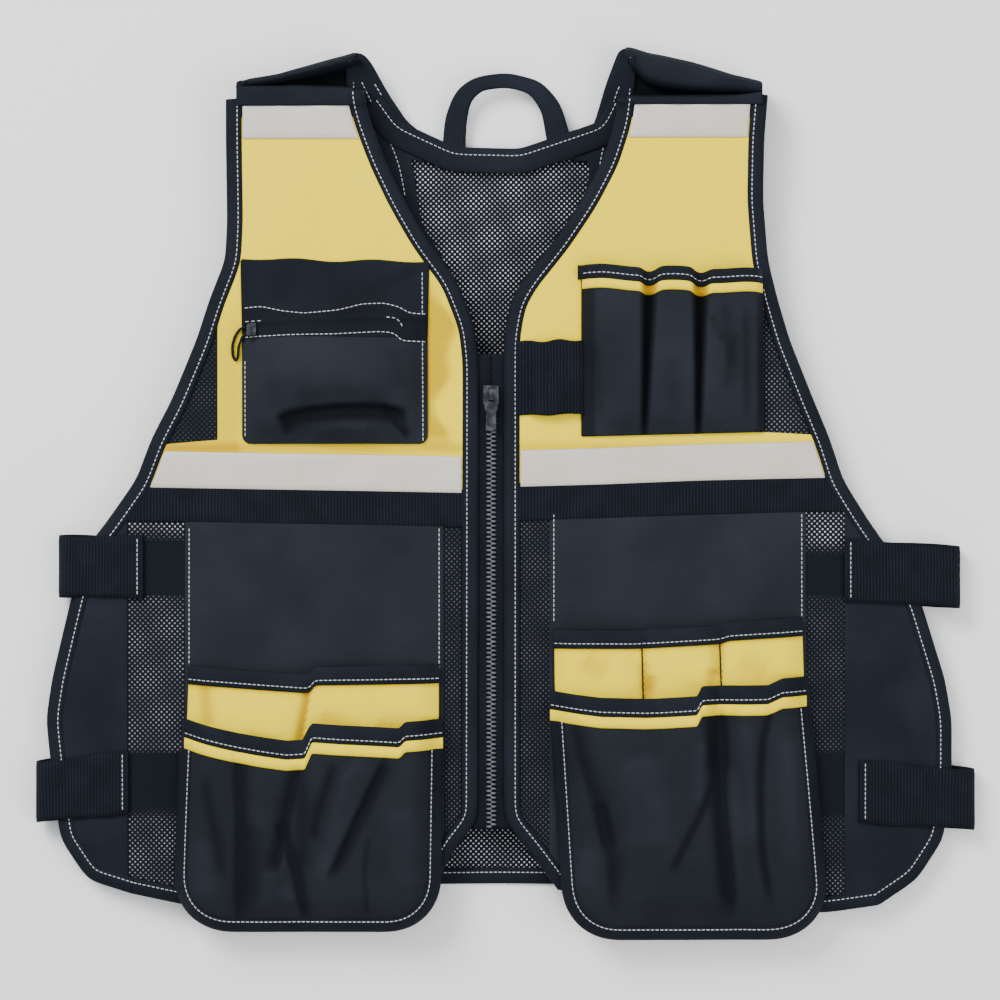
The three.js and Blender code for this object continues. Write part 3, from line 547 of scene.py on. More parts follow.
def mesh_look():
    """Open polyester mesh: round holes in staggered rows 3.5 mm apart that let pale ground through."""
    look, tree, shader = new_look("polyester_mesh", 0.85, sheen=0.1, sheen_tint="#3A3F49")
    flat = node(tree, "ShaderNodeUVMap", uv_map="UVMap").outputs["UV"]
    turned = node(tree, "ShaderNodeVectorRotate", {"Vector": flat, "Angle": 0.09}).outputs[0]
    cover = []
    for vector, pitch in ((flat, 3.5 * MM), (turned, 3.62 * MM)):
        rows = [
            node(tree, "ShaderNodeTexWave", {
                "Vector": vector, "Scale": WAVE_UNIT / pitch,
            }, bands_direction=direction).outputs["Fac"] for direction in "XY"
        ]
        both = node(tree, "ShaderNodeMath", {0: rows[0], 1: rows[1]}).outputs[0]
        off = node(tree, "ShaderNodeMath", {0: both, 1: 1.0}, operation="SUBTRACT").outputs[0]
        cover.append(node(tree, "ShaderNodeMath", {0: off}, operation="ABSOLUTE").outputs[0])
    hole = node(tree, "ShaderNodeMapRange", {
        "Value": cover[0], "From Min": 0.6, "From Max": 0.84,
    }, interpolation_type="SMOOTHSTEP").outputs[0]
    under = node(tree, "ShaderNodeMapRange", {
        "Value": cover[1], "From Min": 0.1, "From Max": 0.8, "To Min": 0.35, "To Max": 1.0,
    }).outputs[0]
    hidden = node(tree, "ShaderNodeAttribute", attribute_name="shade").outputs["Fac"]
    clear = node(tree, "ShaderNodeMath", {0: 1.0, 1: hidden}, operation="SUBTRACT").outputs[0]
    through = node(tree, "ShaderNodeMath", {0: under, 1: clear}, operation="MULTIPLY").outputs[0]
    seen = node(tree, "ShaderNodeMath", {0: hole, 1: through}, operation="MULTIPLY").outputs[0]
    tint = node(tree, "ShaderNodeMix", {
        SHARE: seen, FIRST: linear("#10141B"), SECOND: linear("#C6C8CC"),
    }, data_type="RGBA").outputs[MIXED]
    tree.links.new(tint, shader.inputs["Base Color"])
    raised = node(tree, "ShaderNodeMath", {0: 1.0, 1: hole}, operation="SUBTRACT").outputs[0]
    bump = node(tree, "ShaderNodeBump", {"Strength": 0.6, "Distance": 0.5 * MM, "Height": raised})
    tree.links.new(bump.outputs["Normal"], shader.inputs["Normal"])
    return look


def elastic_look():
    """Woven elastic: cords side by side under a covering, so it is ribbed across its length."""
    look, tree, shader = new_look("woven_elastic", 0.85, sheen=0.1, sheen_tint="#3A3F49")
    flat = node(tree, "ShaderNodeUVMap", uv_map="UVMap").outputs["UV"]
    ribs = node(tree, "ShaderNodeTexWave", {
        "Vector": flat, "Scale": WAVE_UNIT / (2.1 * MM), "Distortion": 1.2, "Detail Scale": 1.5,
    }, bands_direction="X").outputs["Fac"]
    cross = node(tree, "ShaderNodeTexWave", {
        "Vector": flat, "Scale": WAVE_UNIT / (1.3 * MM), "Distortion": 0.8,
    }, bands_direction="Y").outputs["Fac"]
    cloud = node(tree, "ShaderNodeTexNoise", {"Vector": flat, "Scale": 60.0, "Detail": 4.0})
    height = node(tree, "ShaderNodeMath", {0: cross, 1: 0.35, 2: ribs}, operation="MULTIPLY_ADD").outputs[0]
    paler = node(tree, "ShaderNodeMath", {0: height, 1: cloud.outputs["Fac"]}, operation="MULTIPLY")
    tint = node(tree, "ShaderNodeMix", {
        SHARE: paler.outputs[0], FIRST: linear("#0A0D13"), SECOND: linear("#1E232D"),
    }, data_type="RGBA").outputs[MIXED]
    tree.links.new(tint, shader.inputs["Base Color"])
    bump = node(tree, "ShaderNodeBump", {"Strength": 0.8, "Distance": 0.5 * MM, "Height": height})
    tree.links.new(bump.outputs["Normal"], shader.inputs["Normal"])
    return look


def reflective_look():
    """Glass-bead reflective tape: warm silver grey, faintly pearly, with a fine grain of beads."""
    look, tree, shader = new_look("glass_bead_tape", 0.5, metallic=0.1, ior=HARD_IOR)
    flat = node(tree, "ShaderNodeUVMap", uv_map="UVMap").outputs["UV"]
    beads = node(tree, "ShaderNodeTexNoise", {"Vector": flat, "Scale": 1.0 / (1.1 * MM), "Detail": 2.0})
    cloud = node(tree, "ShaderNodeTexNoise", {"Vector": flat, "Scale": 25.0, "Detail": 3.0})
    grain = node(tree, "ShaderNodeMath", {
        0: beads.outputs["Fac"], 1: 0.4, 2: cloud.outputs["Fac"],
    }, operation="MULTIPLY_ADD").outputs[0]
    share = node(tree, "ShaderNodeMapRange", {"Value": grain, "From Min": 0.45, "From Max": 0.95}).outputs[0]
    tint = node(tree, "ShaderNodeMix", {
        SHARE: share, FIRST: linear("#C3BCAD"), SECOND: linear("#D0CABD"),
    }, data_type="RGBA").outputs[MIXED]
    tree.links.new(tint, shader.inputs["Base Color"])
    bump = node(tree, "ShaderNodeBump", {
        "Strength": 0.4, "Distance": 0.15 * MM, "Height": beads.outputs["Fac"],
    })
    tree.links.new(bump.outputs["Normal"], shader.inputs["Normal"])
    return look


def hard_look(name, colour, worn, roughness, metallic):
    """Moulded or cast part: even colour, paler where handled, with a slightly uneven skin."""
    look, tree, shader = new_look(name, roughness, metallic, HARD_IOR)
    spot = node(tree, "ShaderNodeTexCoord").outputs["Object"]
    cloud = node(tree, "ShaderNodeTexNoise", {"Vector": spot, "Scale": 220.0, "Detail": 2.0})
    share = node(tree, "ShaderNodeMapRange", {
        "Value": cloud.outputs["Fac"], "From Min": 0.4, "From Max": 1.0,
    }).outputs[0]
    tint = node(tree, "ShaderNodeMix", {
        SHARE: share, FIRST: linear(colour), SECOND: linear(worn),
    }, data_type="RGBA").outputs[MIXED]
    tree.links.new(tint, shader.inputs["Base Color"])
    bump = node(tree, "ShaderNodeBump", {
        "Strength": 0.3, "Distance": 0.05 * MM, "Height": cloud.outputs["Fac"],
    })
    tree.links.new(bump.outputs["Normal"], shader.inputs["Normal"])
    return look


open_mesh = mesh_look()
ribbed_elastic = elastic_look()
silver_tape = reflective_look()
# Moulded nylon teeth: mid grey with a soft gloss
nylon_teeth = hard_look("moulded_nylon", "#4A4D53", "#777A80", 0.45, 0.0)
# Zinc alloy slider with gunmetal plating, worn brighter in patches
plated_zinc = hard_look("gunmetal_plated_zinc", "#26282C", "#5E6166", 0.35, 1.0)
# Spun polyester sewing thread, pale grey and matt
sewing_thread = hard_look("spun_polyester_thread", "#B9BDC4", "#D6D9DE", 0.8, 0.0)

# Edges of the two fronts: across, up. Each list runs with the cloth on its left.
EDGES = {
    "left": {
        "neck": [
            (-0.175, -0.004), (-0.12, 0.05), (-0.06, 0.0875), (-0.058, 0.66), (-0.068, 0.705),
            (-0.113, 0.7625), (-0.1875, 0.8125), (-0.245, 0.8625), (-0.2925, 0.9125), (-0.33, 0.9625),
            (-0.342, 0.9875),
        ],
        "arm": [
            (-0.68, 0.9875), (-0.68, 0.9375), (-0.6775, 0.8375), (-0.6825, 0.7875), (-0.7225, 0.7375),
            (-0.755, 0.6875), (-0.8175, 0.6125), (-0.87, 0.5625), (-0.9075, 0.5125), (-0.9775, 0.4625),
            (-1.04, 0.4225), (-1.0725, 0.3625), (-1.12, 0.2625), (-1.135, 0.2125), (-1.12, 0.14),
            (-1.1, 0.0625), (-1.0325, 0.0125), (-0.925, -0.004),
        ],
        "hem": [(-0.925, -0.004), (-0.775, -0.019), (-0.5, -0.031), (-0.25, -0.019), (-0.19, -0.008)],
    },
    "right": {
        "hem": [(0.165, -0.003), (0.25, -0.019), (0.5, -0.03), (0.825, -0.0275), (0.95, -0.019)],
        "arm": [
            (0.95, -0.019), (1.045, 0.0125), (1.11, 0.0625), (1.13, 0.14), (1.13, 0.2125), (1.1125, 0.2625),
            (1.05, 0.3625), (0.9875, 0.4125), (0.9175, 0.4625), (0.855, 0.5125), (0.8225, 0.5625),
            (0.78, 0.6125), (0.72, 0.6875), (0.69, 0.7375), (0.665, 0.7875), (0.6525, 0.8625),
            (0.655, 0.9375), (0.664, 0.993),
        ],
        "neck": [
            (0.3, 0.991), (0.294, 0.9625), (0.2625, 0.9125), (0.21, 0.8625), (0.1425, 0.8125),
            (0.062, 0.7625), (0.03, 0.735), (0.014, 0.69), (0.014, 0.0875), (0.075, 0.05), (0.15, 0),
        ],
    },
}

# Lower edge of the chest tape, and the armhole side of the yellow chest cloth: across, up
TAPE_LOW = {
    "left": [(-1.3, 0.504), (-0.9, 0.504), (-0.3, 0.499), (0, 0.496)],
    "right": [(0, 0.504), (0.25, 0.5075), (0.5, 0.5125), (0.82, 0.516), (1.3, 0.516)],
}
CHEST_UP_TO = 0.965
CHEST_SIDE = {
    "left": [
        (-0.75, CHEST_UP_TO), (-0.75, 0.73), (-0.705, 0.715), (-0.705, 0.562), (-0.9, 0.554), (-1.3, 0.554),
    ],
    "right": [
        (1.3, 0.567), (0.84, 0.567), (0.645, 0.572), (0.645, 0.72), (0.72, 0.75), (0.72, CHEST_UP_TO),
    ],
}
SIDE_LINE = {"left": -0.935, "right": 0.865}
SHOULDER_LINE = {"left": 0.983, "right": 0.985}

# Shoulder yokes: across, top of the front strip, far side of the hollow, top of the roll, depth of hollow
YOKES = {
    "left": [
        (-0.362, 0.997, 1.034, 1.046, 1.0), (-0.4, 0.999, 1.03, 1.0405, 1.0),
        (-0.46, 1.0, 1.022, 1.0325, 0.95), (-0.55, 1.001, 1.012, 1.0195, 0.7),
        (-0.63, 1.0015, 1.006, 1.0125, 0.35), (-0.658, 1.0005, 1.003, 1.0065, 0.0),
    ],
    "right": [
        (0.315, 0.985, 1.044, 1.053, 1.0), (0.335, 0.985, 1.03, 1.051, 1.0),
        (0.37, 0.9855, 1.012, 1.0455, 1.0), (0.41, 0.986, 1.006, 1.0415, 1.0),
        (0.48, 0.987, 1.002, 1.034, 0.95), (0.58, 0.9895, 0.9995, 1.0185, 0.8),
        (0.655, 0.994, 0.9985, 1.0095, 0.3),
    ],
}
# Where the neck binding runs on over the roll: across, up
NECK_OVER_ROLL = {
    "left": [(-0.343, 1.008), (-0.345, 1.028), (-0.352, 1.04)],
    "right": [(0.302, 1.04), (0.304, 1.03), (0.303, 1.008)],
}
YOKE_START = 4 * MM
SEAT_RISE = ON_TRIM + 1.2 * MM
HOLLOW_DEPTH = 19 * MM
ROLL_TOP = 31 * MM
# Way down from the top of the roll to the back: millimetres past the top, and height
ROLL_DOWN = [(0.4, 15), (-1.5, 8), (-7, 3.2), (-24, 3)]
YOKE_ROWS = 40
YOKE_COLUMNS = 60
YOKE_CLOTH = 2.2 * MM
# The hollow gets painted shade below this height, over this much more, and up to this column
YOKE_SHADE_UP = 26 * MM
YOKE_SHADE_SPAN = 10 * MM
YOKE_SHADE_END = 40


def yoke_profile(side, x):
    """Places up the yoke and their heights at one place across, from the tape to the top of the roll."""
    rows = np.array(sorted(YOKES[side]))
    share = (x - ORIGIN_X) / HALF_WIDTH
    strip, wall, top, deep = (np.interp(share, rows[:, 0], rows[:, k]) for k in range(1, 5))
    strip, wall, top = (ORIGIN_Y + up * BODY_LENGTH for up in (strip, wall, top))
    seam = ORIGIN_Y + SHOULDER_LINE[side] * BODY_LENGTH
    seat = float(front_height(np.array([x]), np.array([seam]))[0]) + SEAT_RISE
    low = seat - HOLLOW_DEPTH * deep
    strip = max(strip, seam + 1.5 * MM)
    wall = max(wall, strip + 2 * MM)
    top = max(top, wall + 3 * MM)
    slope = min(3.5 * MM, 0.45 * (wall - strip))
    places = [seam - 2 * MM, seam, strip, strip + slope, wall - 0.4 * slope, wall, wall + 2.2 * MM]
    rises = [seat - 0.6 * MM, seat, seat + 0.4 * MM, low, low, ROLL_TOP - 9 * MM * deep, ROLL_TOP - 2 * MM]
    places += [0.5 * (wall + 2 * MM + top), top - 3 * MM, top]
    rises += [ROLL_TOP, ROLL_TOP - 2 * MM, ROLL_TOP - 8 * MM]
    return np.array(places), np.array(rises)


def yoke_height(side):
    """Top of the yoke where there is one, else of the front cloth under it."""
    seam = ORIGIN_Y + SHOULDER_LINE[side] * BODY_LENGTH

    def height(x, y):
        out = front_height(x, y)
        for i in np.flatnonzero(np.asarray(y) > seam - YOKE_START):
            places, rises = yoke_profile(side, x[i])
            blend = np.clip((y[i] - seam + YOKE_START) / YOKE_START, 0, 1)
            rise = soft_ramp(np.column_stack([places, rises]), y[i], 1.2 * MM)
            out[i] = (1 - blend) * out[i] + blend * (rise - 1.0 * MM)
        return out

    return height


def grid_cloth(name, points, thickness, look, uvs=None, shade=None):
    """Closed cloth about a grid of middle points, rows by columns."""
    points = np.asarray(points, float)
    rows, columns = points.shape[:2]
    down = np.gradient(points, axis=0)
    across = np.gradient(points, axis=1)
    out = np.cross(down, across)
    out /= np.maximum(np.linalg.norm(out, axis=2)[:, :, None], 1e-12)
    edge = np.ones((rows, columns, 1))
    edge[[0, -1]] = 0.6
    edge[:, [0, -1]] = 0.6
    reach = out * edge * thickness / 2
    verts = np.vstack([(points + reach).reshape(-1, 3), (points - reach).reshape(-1, 3)])
    if uvs is None:
        along = np.linalg.norm(np.diff(points, axis=0, prepend=points[:1]), axis=2).cumsum(axis=0)
        sideways = np.linalg.norm(np.diff(points, axis=1, prepend=points[:, :1]), axis=2).cumsum(axis=1)
        uvs = np.stack([along, sideways], axis=2)
    uvs = np.vstack([uvs.reshape(-1, 2)] * 2)
    index = np.arange(rows * columns).reshape(rows, columns)
    under = index + rows * columns
    faces = []
    for i in range(rows - 1):
        for j in range(columns - 1):
            faces.append((index[i, j], index[i + 1, j], index[i + 1, j + 1], index[i, j + 1]))
            faces.append((under[i, j], under[i, j + 1], under[i + 1, j + 1], under[i + 1, j]))
    rim = [(0, j) for j in range(columns)] + [(i, columns - 1) for i in range(1, rows)]
    rim += [(rows - 1, j) for j in range(columns - 2, -1, -1)] + [(i, 0) for i in range(rows - 2, 0, -1)]
    for a, b in zip(rim, rim[1:] + rim[:1]):
        faces.append((index[a], index[b], under[b], under[a]))
    faces = [tuple(int(v) for v in face) for face in faces]
    tint = None if shade is None else np.tile(np.ravel(shade), 2)
    return new_object(name, verts, faces, look, uvs, tint)


# Body: fronts, yellow chest cloth, tapes, ribbed bands and side cloths
seams = {name: Seam() for name in ("body", "straps", "pockets")}
inside_bindings = {}
# Straps seen through the mesh: middle and half width, as shares up the body
STRAPS_BEHIND = [(0.404, 0.042), (0.134, 0.042)]
# How much of the mesh's openings goes dark beside the chest cloth and over the side cloth, and where
CHEST_DARK = {"left": 0.93, "right": 0.72}
SIDE_DARK = {"left": (0.6, 0.6), "right": (0.3, 0.88)}
ZIP_DARK = 0.88
CHEST_DARK_UP = 0.53
SIDE_DARK_UP = 0.455


def lifted(line, by):
    """A plan line moved toward the neck."""
    return line + (0, by)


def behind(side):
    """Share of a front's mesh that a strap or a solid layer behind it darkens."""
    def darkness(x, y):
        up = (y - ORIGIN_Y) / BODY_LENGTH
        across = np.abs(x - ORIGIN_X) / HALF_WIDTH
        dark = np.zeros_like(x)
        for middle, half in STRAPS_BEHIND:
            near = np.clip((half - np.abs(up - middle)) / 0.006 + 0.5, 0, 1)
            dark = np.maximum(dark, near * np.clip((across - 0.72) / 0.02, 0, 1))
        beside_chest = np.clip((up - CHEST_DARK_UP) / 0.01, 0, 1) * np.clip((across - 0.6) / 0.02, 0, 1)
        dark = np.maximum(dark, beside_chest * CHEST_DARK[side])
        backed = np.clip((SIDE_DARK_UP - up) / 0.01, 0, 1) * np.clip((across - 0.7) / 0.02, 0, 1)
        least, most = SIDE_DARK[side]
        dark = np.maximum(dark, backed * np.clip(most - 4 * (0.03 - up), least, most))
        dark = np.maximum(dark, 1.0 * (up > CHEST_UP_TO))
        dark = dark * (1 - 0.9 * (side == "right") * np.clip((up - 0.425) / 0.01, 0, 1) * (up < 0.5))
        return np.maximum(dark, ZIP_DARK * np.clip((0.17 - across) / 0.01, 0, 1))

    return darkness


def painted_amber_shade(x, y):
    """Painted amber shade in the yellow cloth's folds beside the pockets and under the tape's edge."""
    up = (y - ORIGIN_Y) / BODY_LENGTH
    across = (x - ORIGIN_X) / HALF_WIDTH
    bend = -0.125 + 0.02 * np.sin(38 * up + 0.6) + 0.012 * np.sin(91 * up)
    beside = np.clip((bend - across) / 0.02, 0, 1) * np.clip((across + 0.2) / 0.01, 0, 1)
    beside = beside * np.clip((0.765 - up) / 0.03, 0, 1) * np.clip((up - 0.55) / 0.02, 0, 1)
    outer = np.clip((-0.64 - across) / 0.02, 0, 1) * np.clip((0.76 - up) / 0.08, 0, 1)
    edge = 0.45 * np.clip(1 - np.abs(up - 0.552) / 0.012, 0, 1)
    return np.clip(0.62 * beside + 0.3 * outer + edge * (up < 0.57), 0, 0.8)


for side in ("left", "right"):
    neck, arm, hem = (smooth_line(place(EDGES[side][key])) for key in ("neck", "arm", "hem"))
    order = (neck, arm, hem) if side == "left" else (hem, arm, neck)
    outline = np.vstack(order)
    within = np.vstack([shifted(line, BINDING_WIDTH - UNDER_BINDING) for line in order])
    beside_binding = np.vstack([shifted(line, BINDING_WIDTH + 0.6 * MM) for line in order])
    inside_bindings[side] = within

    panel = cloth_sheet(
        f"front_mesh_{side}", [outline], front_height, open_mesh, CLOTH, 5 * MM, shade=behind(side),
    )
    settle(panel, f"front_panel_{side}")

    low = smooth_line(place(TAPE_LOW[side]))
    inner_top = place([(0, CHEST_UP_TO)])
    chest_side = place(CHEST_SIDE[side])
    chest_rest = [inner_top, chest_side] if side == "left" else [chest_side, inner_top]
    chest_ring = np.vstack([lifted(low, TUCK)] + chest_rest)

    chest = cloth_sheet(
        f"chest_cloth_{side}", [chest_ring, within], on_cloth, lemon_knit, TRIM, 3.5 * MM, shade=painted_amber_shade,
    )
    settle(chest, f"chest_panel_{side}")

    tape_ring = np.vstack([low, lifted(low, TAPE_WIDTH)[::-1]])
    tape = cloth_sheet(
        f"chest_reflective_{side}", [tape_ring, beside_binding], on_trim, silver_tape, 0.8 * MM,
    )
    settle(tape, f"chest_tape_{side}")
    sign = -1 if side == "left" else 1
    seam_up = SHOULDER_LINE[side]
    drop = TAPE_WIDTH / BODY_LENGTH
    shoulder_ring = place([(0, seam_up - drop), (sign, seam_up - drop), (sign, seam_up), (0, seam_up)])
    shoulder = cloth_sheet(
        f"shoulder_reflective_{side}", [shoulder_ring, beside_binding], on_trim, silver_tape, 0.8 * MM,
    )
    settle(shoulder, f"shoulder_tape_{side}")

    rib_ring = np.vstack([lifted(low, -RIB_HEIGHT), lifted(low, TUCK - GAP)[::-1]])
    rib = cloth_sheet(
        f"ribbed_band_{side}", [rib_ring, within], on_cloth, ribbed_elastic, 1.3 * MM, 2.5 * MM,
    )
    settle(rib, f"rib_band_{side}")

    side_x = ORIGIN_X + SIDE_LINE[side] * HALF_WIDTH
    beyond = side_x + sign * 2 * HALF_WIDTH
    rib_low = lifted(low, -RIB_HEIGHT - GAP)[0 if side == "left" else -1][1]
    below = ORIGIN_Y - BODY_LENGTH
    side_ring = np.array([(side_x, below), (side_x, rib_low), (beyond, rib_low), (beyond, below)])
    side_cloth = cloth_sheet(
        f"side_cloth_{side}", [side_ring, within], on_cloth, oxford_cloth, TRIM, 3.5 * MM,
    )
    settle(side_cloth, f"side_panel_{side}")

    # Bindings folded round the edges, with their topstitching
    fold = folded_section(BINDING_WIDTH, 0.0, 1.9 * MM, 1.2 * MM)
    shoulder_height = yoke_height(side)
    over_roll = place(NECK_OVER_ROLL[side])
    neck_long = np.vstack([neck, over_roll] if side == "left" else [over_roll, neck])
    neck_long = smooth_line(neck_long, rounds=6)
    for label, line, height in (
        ("neck", neck_long, shoulder_height), ("armhole", arm, front_height), ("hem", hem, front_height),
    ):
        bound = swept(f"{label}_edge_{side}", line, fold, height, binding_tape)
        settle(bound, f"{label}_binding_{side}")
        seams["body"].sew(line, over(height, 3.35 * MM), BINDING_SEAM * BINDING_WIDTH)

    # Yoke: strip over the tape, hollow, and the roll that goes down to the back
    rows = np.array(sorted(YOKES[side]))
    shares = np.linspace(rows[0, 0], rows[-1, 0], YOKE_ROWS)
    grid = []
    for share in shares:
        x = ORIGIN_X + share * HALF_WIDTH
        places, rises = yoke_profile(side, x)
        down = [(places[-1] + past * MM, rise * MM) for past, rise in ROLL_DOWN]
        line = smooth_line(np.vstack([np.column_stack([places, rises]), down]), 0.8 * MM, 3)
        line = walked(line, np.linspace(0, lengths(line)[-1], YOKE_COLUMNS))
        wrinkle = 0.5 * MM * np.sin(60 * share + 3 * np.linspace(0, 1, YOKE_COLUMNS))
        rise = line[:, 1] + wrinkle * (line[:, 1] > 8 * MM)
        grid.append(np.column_stack([np.full(YOKE_COLUMNS, x), line[:, 0], rise]))
    # Painted shade in the yoke's hollow, darker the lower the cloth lies
    deep = np.clip((YOKE_SHADE_UP - np.array(grid)[:, :, 2]) / YOKE_SHADE_SPAN, 0, 1)
    deep[:, YOKE_SHADE_END:] = 0
    yoke = grid_cloth(f"yoke_cloth_{side}", grid, YOKE_CLOTH, oxford_cloth, shade=deep)
    settle(yoke, f"shoulder_yoke_{side}")

# Back: mesh on the floor with its neck band, facings and hem binding
BACK_NECK = [
    (-0.3575, 1.035), (-0.25, 0.9625), (-0.1125, 0.931), (0.05, 0.929), (0.25, 0.9625), (0.32, 1.035),
]
BACK_RIGHT = [
    (0.5, 1.019), (0.65, 0.995), (0.645, 0.8125), (0.68, 0.7375), (0.765, 0.6125), (0.845, 0.5125),
    (0.9125, 0.456), (0.98, 0.4), (1.03, 0.3625), (1.09, 0.2625), (1.11, 0.1375), (1.09, 0.0625),
    (1.025, 0.015), (0.94, 0),
]
BACK_HEM = [(0.825, -0.005), (0.4, 0.004), (0, 0.006), (-0.4, 0.004), (-0.825, -0.002)]
BACK_LEFT = [
    (-0.94, 0.006), (-1.02, 0.02), (-1.08, 0.0625), (-1.1, 0.1375), (-1.1, 0.2625), (-1.05, 0.3625),
    (-1.02, 0.4), (-0.9625, 0.456), (-0.8975, 0.5125), (-0.805, 0.6125), (-0.7125, 0.7375),
    (-0.6675, 0.8125), (-0.66, 0.985), (-0.575, 1.0075),
]
back_ring = np.vstack([
    smooth_line(place(rows), rounds=5) for rows in (BACK_NECK, BACK_RIGHT, BACK_HEM, BACK_LEFT)
])
back = cloth_sheet(
    "back_mesh", [back_ring], back_height, open_mesh, CLOTH, 5 * MM, shade=lambda x, y: np.zeros_like(x),
)
settle(back, "back_panel")

# Outlines of the yokes' facings inside the neck, and their seams: across, up
FACINGS = {
    "left": [
        (-0.37, 1.047), (-0.345, 1.047), (-0.325, 1.036), (-0.285, 1.0), (-0.235, 0.963),
        (-0.19, 0.946), (-0.15, 0.934), (-0.175, 0.912), (-0.23, 0.919), (-0.215, 0.892),
        (-0.21, 0.8625), (-0.1975, 0.834), (-0.17, 0.8125), (-0.1375, 0.785), (-0.2, 0.785),
        (-0.3, 0.8625), (-0.375, 0.9625), (-0.3875, 1.035),
    ],
    "right": [
        (0.32, 1.053), (0.3, 1.052), (0.268, 1.01), (0.243, 0.968), (0.235, 0.957), (0.1875, 0.943),
        (0.15, 0.936), (0.175, 0.915), (0.2275, 0.915), (0.225, 0.891), (0.205, 0.855), (0.18, 0.8325),
        (0.15, 0.8125), (0.12, 0.79), (0.175, 0.79), (0.25, 0.8625), (0.33, 0.96), (0.34, 1.04),
    ],
}
FACING_SEAMS = {
    "left": [
        [
            (-0.3475, 1.0125), (-0.3175, 0.981), (-0.2775, 0.939), (-0.2575, 0.915), (-0.245, 0.8875),
            (-0.24, 0.871),
        ],
        [(-0.315, 1.01), (-0.2775, 0.979), (-0.2375, 0.9525), (-0.2025, 0.9425), (-0.16, 0.935)],
    ],
    "right": [
        [(0.3, 1.007), (0.285, 0.989), (0.275, 0.9575), (0.26, 0.9325), (0.2475, 0.8975)],
        [(0.2475, 0.955), (0.1975, 0.939)],
    ],
}
FACING_LIFT = 18 * MM
FACING_UP = [(0.86, 0), (0.95, 0.25), (1.045, 1)]


def facing_height(x, y):
    """The facings lie on the back's mesh and rise towards the shoulder's roll."""
    up = (y - ORIGIN_Y) / BODY_LENGTH
    return back_height(x, y) + ON_CLOTH + FACING_LIFT * soft_ramp(FACING_UP, up, 0.02)


for side in ("left", "right"):
    ring = smooth_line(place(FACINGS[side] + FACINGS[side][:1]), rounds=3)[:-1]
    facing = cloth_sheet(f"neck_facing_{side}", [ring], facing_height, oxford_cloth, TRIM, 3 * MM)
    settle(facing)
    for rows in FACING_SEAMS[side]:
        seams["body"].sew(smooth_line(place(rows)), over(facing_height, TRIM))

# The band starts where the facings come over it
BAND_START = 26 * MM
neck_edge = smooth_line(place(BACK_NECK), rounds=5)
neck_edge = part_of(neck_edge, BAND_START, -BAND_START)
band = swept(
    "back_neck_cloth", neck_edge, flat_section(0.5 * MM, -NECK_BAND_WIDTH, 0, 1.6 * MM, 0.6 * MM),
    over(facing_height, 0.9 * MM), oxford_cloth,
)
settle(band, "back_neck_band")
seams["body"].sew(neck_edge, over(facing_height, 3 * MM), -0.27 * NECK_BAND_WIDTH)

back_hem_line = smooth_line(place(BACK_HEM))[::-1]
hem_fold = folded_section(BINDING_WIDTH, 0.9 * MM, 1.9 * MM, 0.8 * MM)
back_hem = swept("back_hem_edge", back_hem_line, hem_fold, back_height, binding_tape)
settle(back_hem, "back_hem_binding")
seams["body"].sew(back_hem_line, over(back_height, 3 * MM), BINDING_SEAM * BINDING_WIDTH)


def fold_lift(x, y, corner, folds):
    """Rise of a cloth's creases. Each runs through places x, y in millimetres from the cloth's lower left
    corner, then has its width, height and slant: above 0 its left side is wider, below 0 the right one."""
    u = (x - corner[0]) / MM
    v = (y - corner[1]) / MM
    total = np.zeros_like(u)
    for *places, width, height, slant in folds:
        line = np.reshape(places, (-1, 2)).astype(float)
        if len(line) > 2:
            line = smooth_line(line, 2.5, 6)
        size = lengths(line)
        best = np.full_like(u, 1e9)
        aside = np.zeros_like(u)
        along = np.zeros_like(u)
        for k, (a, b) in enumerate(zip(line, line[1:])):
            step = (b - a) / np.linalg.norm(b - a)
            reach = size[k + 1] - size[k]
            ahead = (u - a[0]) * step[0] + (v - a[1]) * step[1]
            inner = np.clip(ahead, -9 * (k == 0), reach + 9 * (k == len(line) - 2))
            away = np.hypot(u - a[0] - inner * step[0], v - a[1] - inner * step[1])
            near = away < best
            best = np.where(near, away, best)
            side = (v - a[1]) * step[0] - (u - a[0]) * step[1]
            aside = np.where(near, np.sign(side) * away, aside)
            along = np.where(near, (size[k] + inner) / size[-1], along)
        spread = width * (1 + slant * np.tanh(3 * aside / width))
        ends = np.clip(along / 0.2 + 0.35, 0, 1) * np.clip((1 - along) / 0.2 + 0.35, 0, 1)
        total = total + height * np.exp(-(best / spread) ** 2) * ends**2 * (3 - 2 * ends)
    return total * MM


def fold_shade(x, y, corner, folds, strength=0.55):
    """Painted shade in the deep creases, darker the deeper they are."""
    deep = -fold_lift(x, y, corner, [row for row in folds if row[-2] < 0]) / (3 * MM)
    return np.clip(deep * strength, 0, 0.85)


def up_at(line, x):
    """How far up the plan a line that runs right to left is, at a place across."""
    return np.interp(x, line[::-1, 0], line[::-1, 1])


def leaning(box, lean, v):
    """Left and right side of a pocket at a share of its height; lean holds (share, left, right) in mm."""
    rows = np.array(lean if len(lean) else [(0, 0, 0)], float)
    left = box[0] + MM * np.interp(v, rows[:, 0], rows[:, 1])
    return left, box[1] + MM * np.interp(v, rows[:, 0], rows[:, 2])


def in_pocket(box, lean, x, y):
    """Shares across and up a pocket whose sides lean."""
    v = np.clip((y - box[2]) / (box[3] - box[2]), 0, 1)
    left, right = leaning(box, lean, v)
    return np.clip((x - left) / (right - left), 0, 1), v


def leaned(points, box, lean):
    """Plan points of an upright pocket, moved to where its leaning sides carry them."""
    v = np.clip((points[:, 1] - box[2]) / (box[3] - box[2]), 0, 1)
    left, right = leaning(box, lean, v)
    share = (points[:, 0] - box[0]) / (box[1] - box[0])
    return np.column_stack([left + share * (right - left), points[:, 1]])


